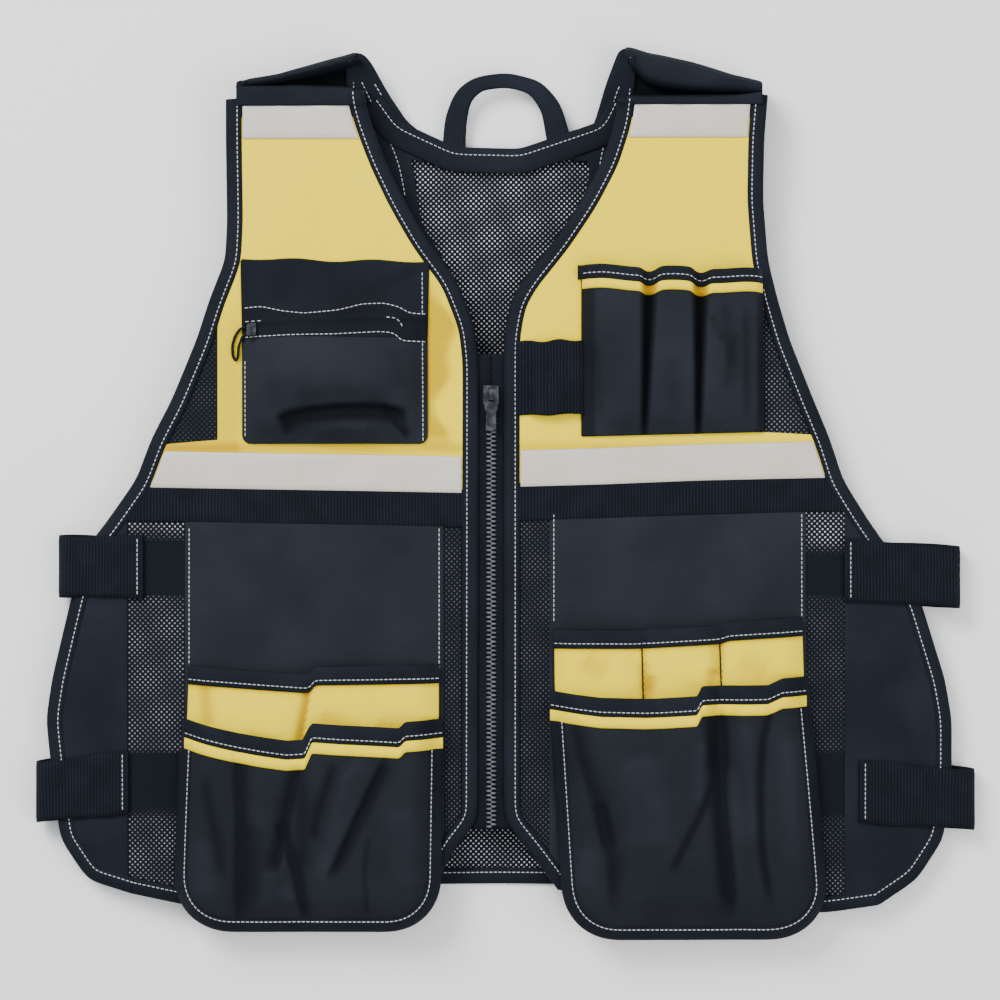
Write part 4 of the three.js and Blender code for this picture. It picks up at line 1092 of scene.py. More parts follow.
def pocket_height(box, across, up, depth, start, corner=None, folds=(), reach=0.03, lean=()):
    """Surface of a pocket: its depth is shared out across and up the pocket, with its creases."""
    corner = (box[0], box[2]) if corner is None else corner

    def height(x, y):
        u, v = in_pocket(box, lean, x, y)
        full = depth * soft_ramp(across, u, reach) * soft_ramp(up, v, 0.04)
        crease = fold_lift(x, y, corner, folds) * np.clip(full / (2 * MM), 0, 1) if len(folds) else 0
        return front_height(x, y) + start + full + np.maximum(crease, -0.8 * full)

    return height


def pocket_ring(left, right, bottom, corner, top_line):
    """Pocket outline with round lower corners; its top line runs right to left."""
    turn = np.linspace(0, math.pi / 2, 10)
    ahead, aside = corner * (1 - np.cos(turn)), corner * (1 - np.sin(turn))
    low_left = np.column_stack([left + ahead, bottom + aside])
    low_right = np.column_stack([right - aside, bottom + ahead])
    return np.vstack([low_left, low_right, top_line])


def wavy(line, height, turns, start=0.0):
    """A line that waves a little to its left and right."""
    share = lengths(line) / lengths(line)[-1]
    return shifted(line, height * np.sin(math.tau * turns * share + start) * np.sin(math.pi * share) ** 0.5)


# Chest pocket: top cloth, covered zip and a bag that hangs in an arched fold
chest_left = ORIGIN_X - 0.6425 * HALF_WIDTH
chest_right = ORIGIN_X - 0.1825 * HALF_WIDTH
chest_top = ORIGIN_Y + 0.7875 * BODY_LENGTH
chest_zip = ORIGIN_Y + 0.7 * BODY_LENGTH
chest_low = ORIGIN_Y + 0.5 * BODY_LENGTH + TAPE_WIDTH + BAND_REVEAL
CHEST_ACROSS = [(0, 0), (0.1, 0.7), (0.3, 1), (0.7, 1), (0.9, 0.7), (1, 0)]
CHEST_UP = [(0, 0), (0.12, 0.8), (0.38, 1), (0.6, 0.45), (0.72, 0.3), (1, 0)]
CHEST_FOLDS = [
    (25, 17, 45, 20.5, 66, 22.5, 88, 22.5, 106, 19.5, 5.2, -5.6, -0.5),
    (25, 18, 27, 12, 30, 5, 3.5, -2.2, 0.4), (101, 20, 104, 14, 107, 5, 2.6, -1.8, 0.3),
    (36, 27, 66, 31, 96, 27, 6.0, -1.5, 0.0), (92, 24, 100, 12, 108, 2, 1.6, -2.4, 0.0),
    (44, 5, 64, 10, 86, 5, 6.0, 2.6, 0.0), (14, 60, 22, 20, 5.0, -0.5, 0.0),
    (96, 62, 106, 34, 5.0, -0.6, 0.0), (50, 8, 84, 10, 7.0, 2.4, 0.0),
    (22, 92, 36, 108, 6.0, -0.8, 0.0), (80, 95, 112, 112, 5.0, -1.4, 0.0),
    (72, 92, 110, 104, 4.0, 1.0, 0.0),
]
chest_box = (chest_left, chest_right, chest_low, chest_top)
chest_height = pocket_height(chest_box, CHEST_ACROSS, CHEST_UP, CHEST_DEPTH, ON_TRIM, folds=CHEST_FOLDS)
chest_corner = (chest_left, chest_low)


def chest_shade(x, y):
    """Painted shade in the chest pocket's creases."""
    return fold_shade(x, y, chest_corner, CHEST_FOLDS, 0.72)


# Rows of the pocket's zip, in millimetres from the left edge and from the zip: upper seam, flap, lower seam
UPPER_SEAM = [
    (1, 14), (12, 15), (26, 12), (40, 10.5), (62, 12.5), (78, 16.5), (92, 17), (102, 14.5), (108, 10.5),
    (119, 10),
]
FLAP_EDGE = [(1, 5), (20, 6), (60, 7), (90, 8), (100, 7.5), (104, 3), (104, -6)]
LOWER_SEAM = [(1, -5), (30, -3.5), (60, -3), (90, -1.5), (99, -2.5), (103, -7.5), (119, -8)]


def chest_rows(rows):
    """A row of the pocket's zip as a plan line."""
    return smooth_line(np.array([(chest_left + x * MM, chest_zip + y * MM) for x, y in rows]), 1.5 * MM, 4)


bag_ring = pocket_ring(
    chest_left, chest_right, chest_low, 5 * MM,
    np.array([(chest_right, chest_zip - 5 * MM), (chest_left, chest_zip - 3 * MM)]),
)
bag = cloth_sheet("chest_bag", [bag_ring], chest_height, oxford_lighter, POCKET_CLOTH, 2 * MM, shade=chest_shade)
settle(bag, "chest_pocket_bag")
top_edge = resample([(chest_right + 1 * MM, chest_top - 2 * MM), (chest_left - 1 * MM, chest_top)], 2 * MM)
top_line = wavy(top_edge, 1.0 * MM, 2.3, 0.6)
top_ring = np.vstack([
    [(chest_left, chest_zip - 3.5 * MM), (chest_right, chest_zip - 5.5 * MM)], top_line,
])
# Top cloth: a quarter of the way to its crease colour all over, plus half the bag's painted crease shade
top_cloth = cloth_sheet(
    "chest_top_cloth", [top_ring], over(chest_height, 0.35 * MM), oxford_cloth, POCKET_CLOTH, 2 * MM,
    shade=lambda x, y: 0.25 + 0.5 * chest_shade(x, y),
)
settle(top_cloth, "chest_pocket_top")
upper_seam, flap_edge, lower_seam = (chest_rows(rows) for rows in (UPPER_SEAM, FLAP_EDGE, LOWER_SEAM))
zip_ring = np.vstack([lower_seam, upper_seam[::-1]])


def zip_flap_height(x, y):
    """The zip lies in a shallow ditch under the lip of its flap."""
    lip = np.interp(x, flap_edge[:60, 0], flap_edge[:60, 1])
    return chest_height(x, y) + 1.3 * MM + 1.6 * MM * np.exp(-((y - lip) / (2.2 * MM)) ** 2)


zip_cover = cloth_sheet(
    "chest_zip_cover", [zip_ring], zip_flap_height, oxford_cloth, 0.9 * MM, 1.5 * MM,
    shade=lambda x, y: np.full_like(x, 0.45),
)
settle(zip_cover, "chest_pocket_zip")
for line in (upper_seam, lower_seam):
    seams["pockets"].sew(line, over(zip_flap_height, 1.1 * MM))
seams["pockets"].sew(part_of(flap_edge, 0, 12 * MM), over(zip_flap_height, 1.3 * MM))
seams["pockets"].sew(part_of(flap_edge, 92 * MM, 106 * MM), over(zip_flap_height, 1.3 * MM))
right_seam = [(chest_right - 2.5 * MM, chest_low + 1 * MM), (chest_right - 3 * MM, chest_top - 8 * MM)]
left_seam = [(chest_left + 1.5 * MM, chest_zip - 20 * MM), (chest_left + 1.5 * MM, chest_low + 4 * MM)]
for line in (right_seam, left_seam):
    seams["pockets"].sew(line, over(chest_height, POCKET_CLOTH + 0.5 * MM))

# Pen pockets: three round compartments side by side, bound and piped
pen_left = ORIGIN_X + 0.205 * HALF_WIDTH
pen_right = ORIGIN_X + 0.655 * HALF_WIDTH
pen_low = ORIGIN_Y + 0.509 * BODY_LENGTH + TAPE_WIDTH + BAND_REVEAL
pen_top = ORIGIN_Y + 0.7775 * BODY_LENGTH
PEN_ACROSS = [(0, 0), (0.03, 0.5), (0.07, 0.62), (0.1, 0.95), (0.3, 1), (0.9, 1), (0.975, 0.8), (1, 0.1)]
# Gaps between the compartments: place across and half width, at the foot and at the mouth
PEN_GAPS = [(0.345, 0.008, 0.375, 0.03), (0.645, 0.008, 0.655, 0.03)]
PEN_UP = [(0, 0), (0.12, 0.6), (0.5, 0.9), (1, 1)]
PEN_FOLDS = [
    (84, 78, 92, 60, 3.0, -1.6, 0.0), (92, 84, 97, 44, 3.0, -1.4, 0.2), (100, 66, 94, 30, 4.0, -1.2, 0.0),
    (88, 70, 94, 40, 3.5, 1.2, 0.0), (8, 60, 12, 10, 4.0, -1.2, 0.0), (58, 50, 62, 12, 5.0, -0.8, 0.0),
    (106, 80, 108, 10, 2.5, -1.6, 0.0), (30, 40, 26, 6, 5.0, 0.8, 0.0),
]
pen_box = (pen_left, pen_right, pen_low, pen_top)
plain_pens = pocket_height(pen_box, PEN_ACROSS, PEN_UP, PEN_DEPTH, ON_TRIM, folds=PEN_FOLDS, reach=0.012)


def pen_gap(x, y):
    """Share of the way into a gap between two compartments."""
    u = (x - pen_left) / (pen_right - pen_left)
    v = np.clip((y - pen_low) / (pen_top - pen_low), 0, 1)
    deep = np.zeros_like(u)
    for foot, foot_half, mouth, mouth_half in PEN_GAPS:
        middle = foot + (mouth - foot) * v
        half = foot_half + (mouth_half - foot_half) * v**1.5 + 0.012
        deep = np.maximum(deep, np.exp(-((u - middle) / half) ** 4))
    return deep


def pen_height(x, y):
    """Surface of the pen pockets, pressed down between the compartments."""
    base = front_height(x, y) + ON_TRIM
    return base + (plain_pens(x, y) - base) * (1 - 0.85 * pen_gap(x, y))


def pen_shade(x, y):
    """Painted shade at the pocket's sides, between the compartments and in the creases."""
    u = (x - pen_left) / (pen_right - pen_left)
    edge = 0.5 * np.clip((0.08 - u) / 0.02, 0, 1) + 0.5 * np.clip((u - 0.96) / 0.02, 0, 1)
    return np.clip(edge + 0.95 * pen_gap(x, y) + fold_shade(x, y, (pen_left, pen_low), PEN_FOLDS), 0, 0.95)


pen_line = resample([(pen_left, pen_top + 1 * MM), (pen_right, pen_top - 2 * MM)], 1.0 * MM)
pen_line[:, 1] -= 2.6 * MM * pen_gap(pen_line[:, 0], pen_line[:, 1])
pen_line[:, 1] += 0.8 * MM * np.sin(130 * (pen_line[:, 0] - pen_left))
pen_line = smooth_line(pen_line, 1 * MM, 5)[::-1]
pen_ring = np.vstack([[(pen_left, pen_low), (pen_right + 1 * MM, pen_low + 3 * MM)], pen_line])
pens = cloth_sheet(
    "pen_pocket_cloth", [pen_ring], pen_height, oxford_lighter, POCKET_CLOTH, 1.8 * MM, shade=pen_shade,
)
settle(pens, "pen_pocket")
pen_band = MOUTH_BINDING - TUCK
band_section = flat_section(-0.5 * MM, pen_band, 0.2 * MM, 1.3 * MM, 0.5 * MM)
on_pen = over(pen_height, POCKET_CLOTH)
bound_line = np.vstack([pen_line, [(pen_left - 3 * MM, pen_line[-1][1])]])
pen_bound = swept("pen_mouth_binding", bound_line, band_section, on_pen, binding_tape, toward=DOWN)
settle(pen_bound, "pen_binding")
seams["pockets"].sew(pen_line, over(on_pen, 1.9 * MM), 0.55 * pen_band, DOWN)
pipe_section = flat_section(pen_band - 0.4 * MM, pen_band + PIPING_WIDTH - 1 * MM, 0.0, 1.1 * MM, 0.9 * MM)
piping = swept("pen_yellow_piping", pen_line, pipe_section, on_pen, lemon_knit, toward=DOWN)
# Painted shade on the yellow piping where it dips into the gaps between the compartments
layer = piping.data.attributes.new("shade", "FLOAT", "POINT")
spots = np.empty(len(piping.data.vertices) * 3)
piping.data.vertices.foreach_get("co", spots)
layer.data.foreach_set("value", 0.9 * pen_gap(spots[::3], spots[1::3]))
settle(piping, "pen_piping")

# Elastic tool band beside them, sewn down in columns
tool_left = ORIGIN_X + 0.0725 * HALF_WIDTH
tool_right = pen_left - 4 * TRIM + 2 * MM
tool_low = ORIGIN_Y + 0.594 * BODY_LENGTH
tool_top = ORIGIN_Y + 0.684 * BODY_LENGTH
TOOL_ACROSS = [
    (0, 0), (0.1, 0.9), (0.25, 1), (0.32, 0.75), (0.4, 1), (0.6, 1), (0.67, 0.75), (0.74, 1),
    (0.9, 0.9), (1, 0.3),
]
tool_box = (tool_left, tool_right + 4 * MM, tool_low, tool_top)
tool_height = pocket_height(tool_box, TOOL_ACROSS, [(0, 1), (1, 1)], TOOL_DEPTH, ON_TRIM, reach=0.02)
tool_start = tool_left - 8 * MM
tool_end = tool_right + 4 * MM
tool_line = resample([(tool_end, tool_top + 1 * MM), (tool_start, tool_top)], 2 * MM)
tool_line = wavy(tool_line, 0.9 * MM, 2)
tool_base = resample([(tool_start, tool_low), (tool_end, tool_low + 1 * MM)], 2 * MM)
tool_base = wavy(tool_base, 0.6 * MM, 1.6)
tool = cloth_sheet(
    "tool_elastic", [np.vstack([tool_base, tool_line])], tool_height, ribbed_elastic, 1.4 * MM, 1.8 * MM,
)
settle(tool, "tool_band")

# Lower pockets: base panel on the body, yellow middle layer, black front layer. Sides, bottom and mouths
# are shares across and up, and the mouths run right to left. Lean: share up the pocket, then millimetres
# that its left and right side stand further right. Seams: millimetres from the left side. Mid and across:
# share across, share of the depth. Creases and yellow: folds of the front and middle layer, as in fold_lift.
LOWER = {
    "left": {
        "sides": (-POCKET_SIDE, -0.1425), "bottom": -POCKET_FOOT,
        "lean": [(0, -5, -2), (0.13, -6, -2), (0.33, -7, -2), (0.57, -5, -1.5), (0.8, -1, 0), (1, 0, 0)],
        "seams": [],
        "mid_mouth": [(-0.1425, 0.28), (-0.462, 0.2775), (-0.476, 0.2675), (-0.7875, 0.279)],
        "mouth": [
            (-0.1425, 0.2125), (-0.235, 0.21), (-0.25, 0.202), (-0.467, 0.208), (-0.485, 0.1875),
            (-0.53, 0.1865), (-0.65, 0.196), (-0.7875, 0.2125),
        ],
        "mid": [(0, 0), (0.08, 0.9), (0.3, 1), (0.47, 0.75), (0.52, 0.75), (0.7, 1), (0.92, 0.9), (1, 0)],
        "across": [
            (0, 0), (0.1, 0.8), (0.17, 0.9), (0.22, 0.6), (0.32, 0.95), (0.46, 0.6), (0.6, 1), (0.71, 0.75),
            (0.9, 0.85), (1, 0),
        ],
        "creases": [
            (35, 118, 36, 70, 35, 8, 4.5, -2.6, 0.5), (46, 70, 46, 20, 7.0, -1.2, 0.0),
            (74, 106, 66, 66, 60, 40, 4.0, -3.0, -0.5), (62, 70, 72, 40, 78, 8, 3.5, -3.0, 0.4),
            (76, 110, 78, 40, 5.0, -1.6, 0.0), (114, 112, 104, 92, 92, 50, 88, 36, 5.5, 2.4, 0.4),
            (130, 112, 112, 74, 94, 36, 3.5, -3.6, 0.6), (98, 110, 86, 76, 84, 60, 3.5, -2.0, 0.0),
            (120, 62, 117, 40, 119, 10, 1.6, -1.4, 0.0), (14, 100, 22, 60, 26, 36, 4.0, -1.6, 0.0),
            (12, 60, 14, 24, 7.0, 1.0, 0.0), (140, 80, 146, 30, 10.0, 1.3, 0.0),
            (56, 40, 52, 16, 6.0, 1.0, 0.0), (64, 30, 70, 20, 4.0, 1.0, 0.0),
        ],
        "yellow": [
            (82, 162, 79, 146, 75, 118, 2.4, -2.8, -0.5), (88, 140, 112, 126, 7.0, -0.9, 0.0),
            (13, 160, 15, 132, 5.0, -1.5, 0.0), (124, 134, 156, 122, 6.0, -0.9, 0.0),
            (42, 126, 62, 118, 4.0, -1.0, 0.0),
        ],
    },
    "right": {
        "sides": (0.125, 0.765), "bottom": -0.061,
        "lean": [(0, 9, 12), (0.14, 8.5, 13), (0.27, 6.5, 13), (0.51, 3, 8), (0.75, 0.5, 1.5), (1, 0, 0)],
        "seams": [59.5, 110],
        "mid_mouth": [(0.765, 0.339), (0.57, 0.333), (0.55, 0.329), (0.34, 0.323), (0.125, 0.3235)],
        "mouth": [
            (0.765, 0.265), (0.7, 0.264), (0.665, 0.2555), (0.5, 0.2545), (0.488, 0.242), (0.36, 0.2385),
            (0.25, 0.24), (0.125, 0.2475),
        ],
        "mid": [
            (0, 0), (0.08, 0.9), (0.3, 1), (0.35, 0.6), (0.4, 1), (0.62, 1), (0.665, 0.6), (0.71, 1),
            (0.92, 0.9), (1, 0),
        ],
        "across": [
            (0, 0), (0.1, 0.75), (0.2, 0.9), (0.26, 0.75), (0.42, 1), (0.6, 0.9), (0.68, 0.5), (0.74, 0.9),
            (0.83, 0.75), (0.9, 0.85), (1, 0),
        ],
        "creases": [
            (14, 146, 20, 118, 30, 90, 40, 50, 40, 20, 5.0, -2.0, 0.3),
            (32, 90, 38, 60, 4.0, -2.2, 0.0), (104, 100, 98, 84, 78, 44, 2.6, -2.2, 0.0),
            (108, 162, 110, 130, 111, 90, 118, 20, 5.0, -4.6, -0.4),
            (108, 150, 110, 110, 7.0, -3.0, 0.0), (98, 130, 96, 90, 4.0, 1.4, 0.0),
            (144, 158, 138, 130, 136, 100, 137, 60, 143, 24, 2.4, -2.6, -0.3),
            (58, 120, 64, 60, 12.0, 1.3, 0.0), (124, 140, 126, 60, 7.0, 1.4, 0.0),
            (154, 130, 156, 50, 6.0, 1.0, 0.0), (24, 60, 22, 34, 6.0, 1.0, 0.0),
        ],
        "yellow": [
            (60, 200, 61, 150, 1.6, -1.5, 0.0), (110.5, 204, 111, 160, 1.6, -1.5, 0.0),
            (106, 176, 105, 162, 4.0, -1.2, 0.0), (66, 172, 63, 152, 4.0, -1.5, 0.0),
            (22, 182, 36, 172, 8.0, -0.8, 0.0), (60, 180, 62, 160, 4.0, -1.0, 0.0),
            (108, 196, 108, 170, 4.0, -1.0, 0.0), (122, 180, 140, 172, 8.0, -0.7, 0.0),
        ],
    },
}
MID_UP = [(0, 0), (0.1, 0.8), (0.4, 1), (1, 1)]
FRONT_UP = [(0, 0), (0.15, 0.85), (0.5, 1), (1, 0.9)]
MID_CORNER = 34 * MM
BASE_LOW = 0.02
MID_INSET = 3.2 * MM

def front_surface(rows, box, front_rows, below):
    """Face of a lower pocket's front over the layer below it, with its creases."""
    def height(x, y):
        u, v = in_pocket(box, rows["lean"], x, y)
        full = FRONT_DEPTH * soft_ramp(rows["across"], u, 0.03) * soft_ramp(front_rows, v, 0.03)
        crease = fold_lift(x, y, (box[0], box[2]), rows["creases"]) * np.clip(full / (3 * MM), 0, 1)
        return below(x, y) + ON_POCKET + full + np.maximum(crease, -0.75 * full)

    return height


def yellow_shading(rows, corner, mouth):
    """Painted shade in the middle layer's creases and right under its mouth's binding."""
    def shade(x, y):
        under = up_at(mouth, x) - MOUTH_BINDING - y
        shaded = 0.5 * np.clip(1 - under / (3 * MM), 0, 1)
        return np.clip(fold_shade(x, y, corner, rows["yellow"], 1.0) + shaded, 0, 0.9)

    return shade


def front_shading(rows, corner):
    """Painted shade between the ridges and in the creases, and painted light on the ridges, as the cloth sags
    away from the light.
    """
    def shade(x, y):
        lift = fold_lift(x, y, corner, rows["creases"]) / MM
        return np.clip(0.24 - 0.27 * np.clip(lift, 0, 1) + 0.22 * np.clip(-lift, 0, 2.2), 0, 0.72)

    return shade


for side, rows in LOWER.items():
    left, right = (ORIGIN_X + share * HALF_WIDTH for share in rows["sides"])
    bottom = ORIGIN_Y + rows["bottom"] * BODY_LENGTH
    mid_line = smooth_line(place(rows["mid_mouth"]), 1.2 * MM, 3)
    mouth_line = smooth_line(place(rows["mouth"]), 0.8 * MM, 2)
    mid_top = mid_line[:, 1].max()
    share_up = (mouth_line[:, 1].max() - bottom) / (mid_top - bottom)
    box = (left, right, bottom, mid_top)
    corner = (left, bottom)
    front_rows = [(up * share_up, depth) for up, depth in FRONT_UP]

    within = inside_bindings[side]
    rib_low = place(TAPE_LOW[side]) - (0, RIB_HEIGHT + GAP)
    base_ring = np.vstack([
        [(left, ORIGIN_Y + BASE_LOW * BODY_LENGTH), (right, ORIGIN_Y + BASE_LOW * BODY_LENGTH)],
        [(right, np.interp(right, rib_low[:, 0], rib_low[:, 1]))],
        [(left, np.interp(left, rib_low[:, 0], rib_low[:, 1]))],
    ])
    base = cloth_sheet(
        f"pocket_base_cloth_{side}", [base_ring, within], on_cloth, oxford_lighter, TRIM, 3 * MM,
    )
    settle(base, f"pocket_base_{side}")
    for edge in (left + 2.5 * MM, right - 2.5 * MM):
        line = np.array([(edge, mid_top - 2 * MM), (edge, base_ring[2][1] - 1 * MM)])
        seams["pockets"].sew(line, over(front_height, ON_CLOTH + TRIM + 0.1 * MM))

    lean = rows["lean"]
    mid_height = pocket_height(
        box, rows["mid"], MID_UP, MID_DEPTH, ON_TRIM, corner, rows["yellow"], lean=lean,
    )
    plain_mid = pocket_height(box, rows["mid"], MID_UP, MID_DEPTH, ON_TRIM, corner, lean=lean)

    front_face = front_surface(rows, box, front_rows, plain_mid)
    mid_ring = leaned(pocket_ring(left, right, bottom, MID_CORNER + 16 * MM, mid_line), box, lean)
    steps = np.linspace(0, 1, 12)
    low_side, high_side = leaning(box, lean, steps)
    ups = bottom + 4 * MM + steps * (mid_top - bottom - 3 * MM)
    inner = np.vstack([
        np.column_stack([high_side - MID_INSET, ups]), np.column_stack([low_side + MID_INSET, ups])[::-1],
    ])
    mid = cloth_sheet(
        f"pocket_yellow_cloth_{side}", [mid_ring, inner], mid_height, lemon_knit, POCKET_CLOTH,
        2.4 * MM, shade=yellow_shading(rows, corner, mid_line),
    )
    settle(mid, f"pocket_mid_{side}")
    mouth_section = flat_section(-1.4 * MM, MOUTH_BINDING, 0.1 * MM, 1.4 * MM, 0.5 * MM)
    mid_band = part_of(mid_line, MID_INSET - MM, MM - MID_INSET)
    on_mid = over(mid_height, POCKET_CLOTH)
    settle(
        swept(f"pocket_mid_tape_{side}", mid_band, mouth_section, on_mid, binding_tape, toward=DOWN),
        f"pocket_mid_binding_{side}",
    )
    seams["pockets"].sew(mid_band, over(on_mid, 2.0 * MM), 0.7 * MOUTH_BINDING, DOWN)

    front_ring = leaned(pocket_ring(left, right, bottom, MID_CORNER, mouth_line), box, lean)
    face = cloth_sheet(
        f"pocket_front_cloth_{side}", [front_ring], front_face, oxford_lighter, POCKET_CLOTH, 1.9 * MM,
        shade=front_shading(rows, corner),
    )
    settle(face, f"pocket_front_{side}")
    on_face = over(front_face, POCKET_CLOTH)
    settle(
        swept(f"pocket_mouth_tape_{side}", mouth_line, mouth_section, on_face, binding_tape, toward=DOWN),
        f"pocket_mouth_binding_{side}",
    )
    seams["pockets"].sew(mouth_line, over(on_face, 2.0 * MM), 0.72 * MOUTH_BINDING, DOWN)
    pipe_start = MOUTH_BINDING + GAP
    pipe_section = flat_section(pipe_start - 0.5 * MM, pipe_start + PIPING_WIDTH, 0.0, 1.2 * MM, 1.0 * MM)
    settle(
        swept(f"pocket_yellow_piping_{side}", mouth_line, pipe_section, on_face, lemon_knit, toward=DOWN),
        f"pocket_piping_{side}",
    )

    # Binding round the pocket, folded over its sides and foot
    ring = pocket_ring(left, right, bottom, MID_CORNER, np.zeros((0, 2)))
    start_y, end_y = (up_at(mouth_line, x) - pipe_start - PIPING_WIDTH for x in (left, right))
    edge_line = leaned(np.vstack([[(left, start_y)], ring, [(right, end_y)]]), box, lean)
    edge_line = smooth_line(edge_line, 2 * MM, 4)
    edge_fold = folded_section(EDGE_BINDING, -0.4 * MM, 1.2 * MM, 0.9 * MM, 1.0 * MM)
    settle(
        swept(f"pocket_edge_tape_{side}", edge_line, edge_fold, front_face, binding_tape),
        f"pocket_edge_binding_{side}",
    )
    seams["pockets"].sew(edge_line, over(front_face, 2.5 * MM), 0.78 * EDGE_BINDING)

    # Black seams that part the middle layer into compartments
    for place_in in rows["seams"]:
        seam_x = left + place_in * MM
        top_y = up_at(mid_line, seam_x) - MOUTH_BINDING + MM
        foot_y = up_at(mouth_line, seam_x) - MM
        seam_line = resample([(seam_x, top_y), (seam_x + MM, foot_y)], 1.5 * MM)
        seam_section = flat_section(-0.5 * MM, 0.5 * MM, 0.2 * MM, 0.8 * MM)
        seam_tape = swept(f"pocket_seam_{side}_{place_in}", seam_line, seam_section, on_mid, binding_tape)
        settle(seam_tape)


# Front zip: two woven tapes, two rows of moulded teeth, and the slider and pull of the frame
zip_edges = {"left": ORIGIN_X - 0.058 * HALF_WIDTH, "right": ORIGIN_X + 0.014 * HALF_WIDTH}
ZIP_TUCK = 4 * MM
zip_x = (zip_edges["left"] + zip_edges["right"]) / 2
zip_low = ORIGIN_Y + 0.075 * BODY_LENGTH
zip_top = ORIGIN_Y + 0.67 * BODY_LENGTH
teeth_top = ORIGIN_Y + 0.607 * BODY_LENGTH
TOOTH_PITCH = 2.9 * MM
TOOTH_WIDTH = 1.5 * MM
TOOTH_HEIGHT = 2.0 * MM
# A tooth from root to nose: millimetres out from the zip's middle, shares of its width and height
TOOTH_SECTIONS = [(-0.55, 1.25, 0.55), (0.1, 1.25, 1.0), (1.3, 1.1, 1.0), (2.5, 0.8, 0.9), (3.1, 0.8, 0.45)]
TOOTH_AROUND = [(0.5, 0.15), (0.42, 0.85), (0.2, 1.0), (-0.2, 1.0), (-0.42, 0.85), (-0.5, 0.15)]

for side, sign in (("left", -1), ("right", 1)):
    # Woven tape from the zip's middle to under the front
    edge_x = zip_edges[side] + sign * ZIP_TUCK
    line = resample([(zip_x, zip_low), (zip_x, zip_top)], 3 * MM)
    section = flat_section(-sign * 0.15 * MM, -sign * abs(edge_x - zip_x), -1.3 * MM, -0.3 * MM)
    settle(
        swept(f"zip_woven_tape_{side}", line, section, front_height, zip_cloth),
        f"zipper_tape_{side}",
    )
    verts, faces = [], []
    count = int((teeth_top - zip_low - TUCK) / TOOTH_PITCH)
    size = len(TOOTH_AROUND)
    for k in range(count):
        y = zip_low + TUCK + (k + (0.5 if sign > 0 else 0.0)) * TOOTH_PITCH
        base = float(front_height(np.array([zip_x]), np.array([y]))[0])
        first = len(verts)
        for out, width, height in TOOTH_SECTIONS:
            x = zip_x + sign * (0.2 * MM + out * MM)
            for across, up in TOOTH_AROUND:
                rise = base - 0.4 * MM + up * height * TOOTH_HEIGHT
                verts.append((x, y + across * width * TOOTH_WIDTH, rise))
        for i in range(len(TOOTH_SECTIONS) - 1):
            for j in range(size):
                a, b = first + i * size + j, first + i * size + (j + 1) % size
                quad = (a, a + size, b + size, b)
                faces.append(quad if sign > 0 else quad[::-1])
        last = first + (len(TOOTH_SECTIONS) - 1) * size
        root = tuple(first + j for j in range(size))
        nose = tuple(last + j for j in range(size))
        faces += [root, nose[::-1]] if sign > 0 else [root[::-1], nose]
    teeth = new_object(f"zip_teeth_{side}", verts, faces, nylon_teeth)
    settle(teeth, f"zipper_teeth_{side}")

for name in ("zipper_slider", "zipper_pull", "chest_pocket_slider"):
    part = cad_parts[name]
    for k in range(len(part.material_slots)):
        part.material_slots[k].material = plated_zinc

# Chest pocket's cord puller: a loop of thin cord over the pocket's left edge, in millimetres from its zip
LOOP_PATH = [
    (2, 1.5), (-2, 0.5), (-5, -4), (-6.8, -10), (-6.6, -17), (-4.6, -20.5), (-3.2, -18), (-2.8, -11),
    (-0.5, -5), (3, -1.5),
]
loop = np.array([(chest_left + x * MM, chest_zip + y * MM) for x, y in LOOP_PATH])
loop = smooth_line(loop, 0.8 * MM, 3)
turn = np.linspace(0, math.tau, 9)[:-1]
CORD_RADIUS = 0.95 * MM
cord_section = [(CORD_RADIUS * math.cos(a), CORD_RADIUS * math.sin(a)) for a in turn]


def loop_height(x, y):
    """The cord lies on the pocket's face inside its left edge, and on the yellow cloth outside it."""
    inner = np.clip((x - chest_left + 3 * MM) / (5 * MM), 0, 1)
    high = chest_height(np.maximum(x, chest_left + 2 * MM), y) + 4 * MM
    return (1 - inner) * (front_height(x, y) + ON_TRIM + 1.2 * MM) + inner * high


puller = swept("chest_cord_puller", loop, cord_section, loop_height, binding_tape)
settle(puller, "chest_pocket_pull")

# Elastic side straps, from the front round the open side to the back: places across of the start, the
# binding, the edge and the turn, then the place up the body and the lean in millimetres
STRAPS = [
    ("upper_left", -0.8925, -0.95, -1.055, -1.1075, 0.404, 0),
    ("lower_left", -0.93, -0.95, -1.135, -1.165, 0.134, -7),
    ("upper_right", 0.8625, 0.93, 1.03, 1.155, 0.4, -5),
    ("lower_right", 0.9, 0.93, 1.14, 1.1925, 0.1225, -6),
]
STRAP_RETURN = 26 * MM
STRAP_ROWS = 13
STRAP_COLUMNS = 90
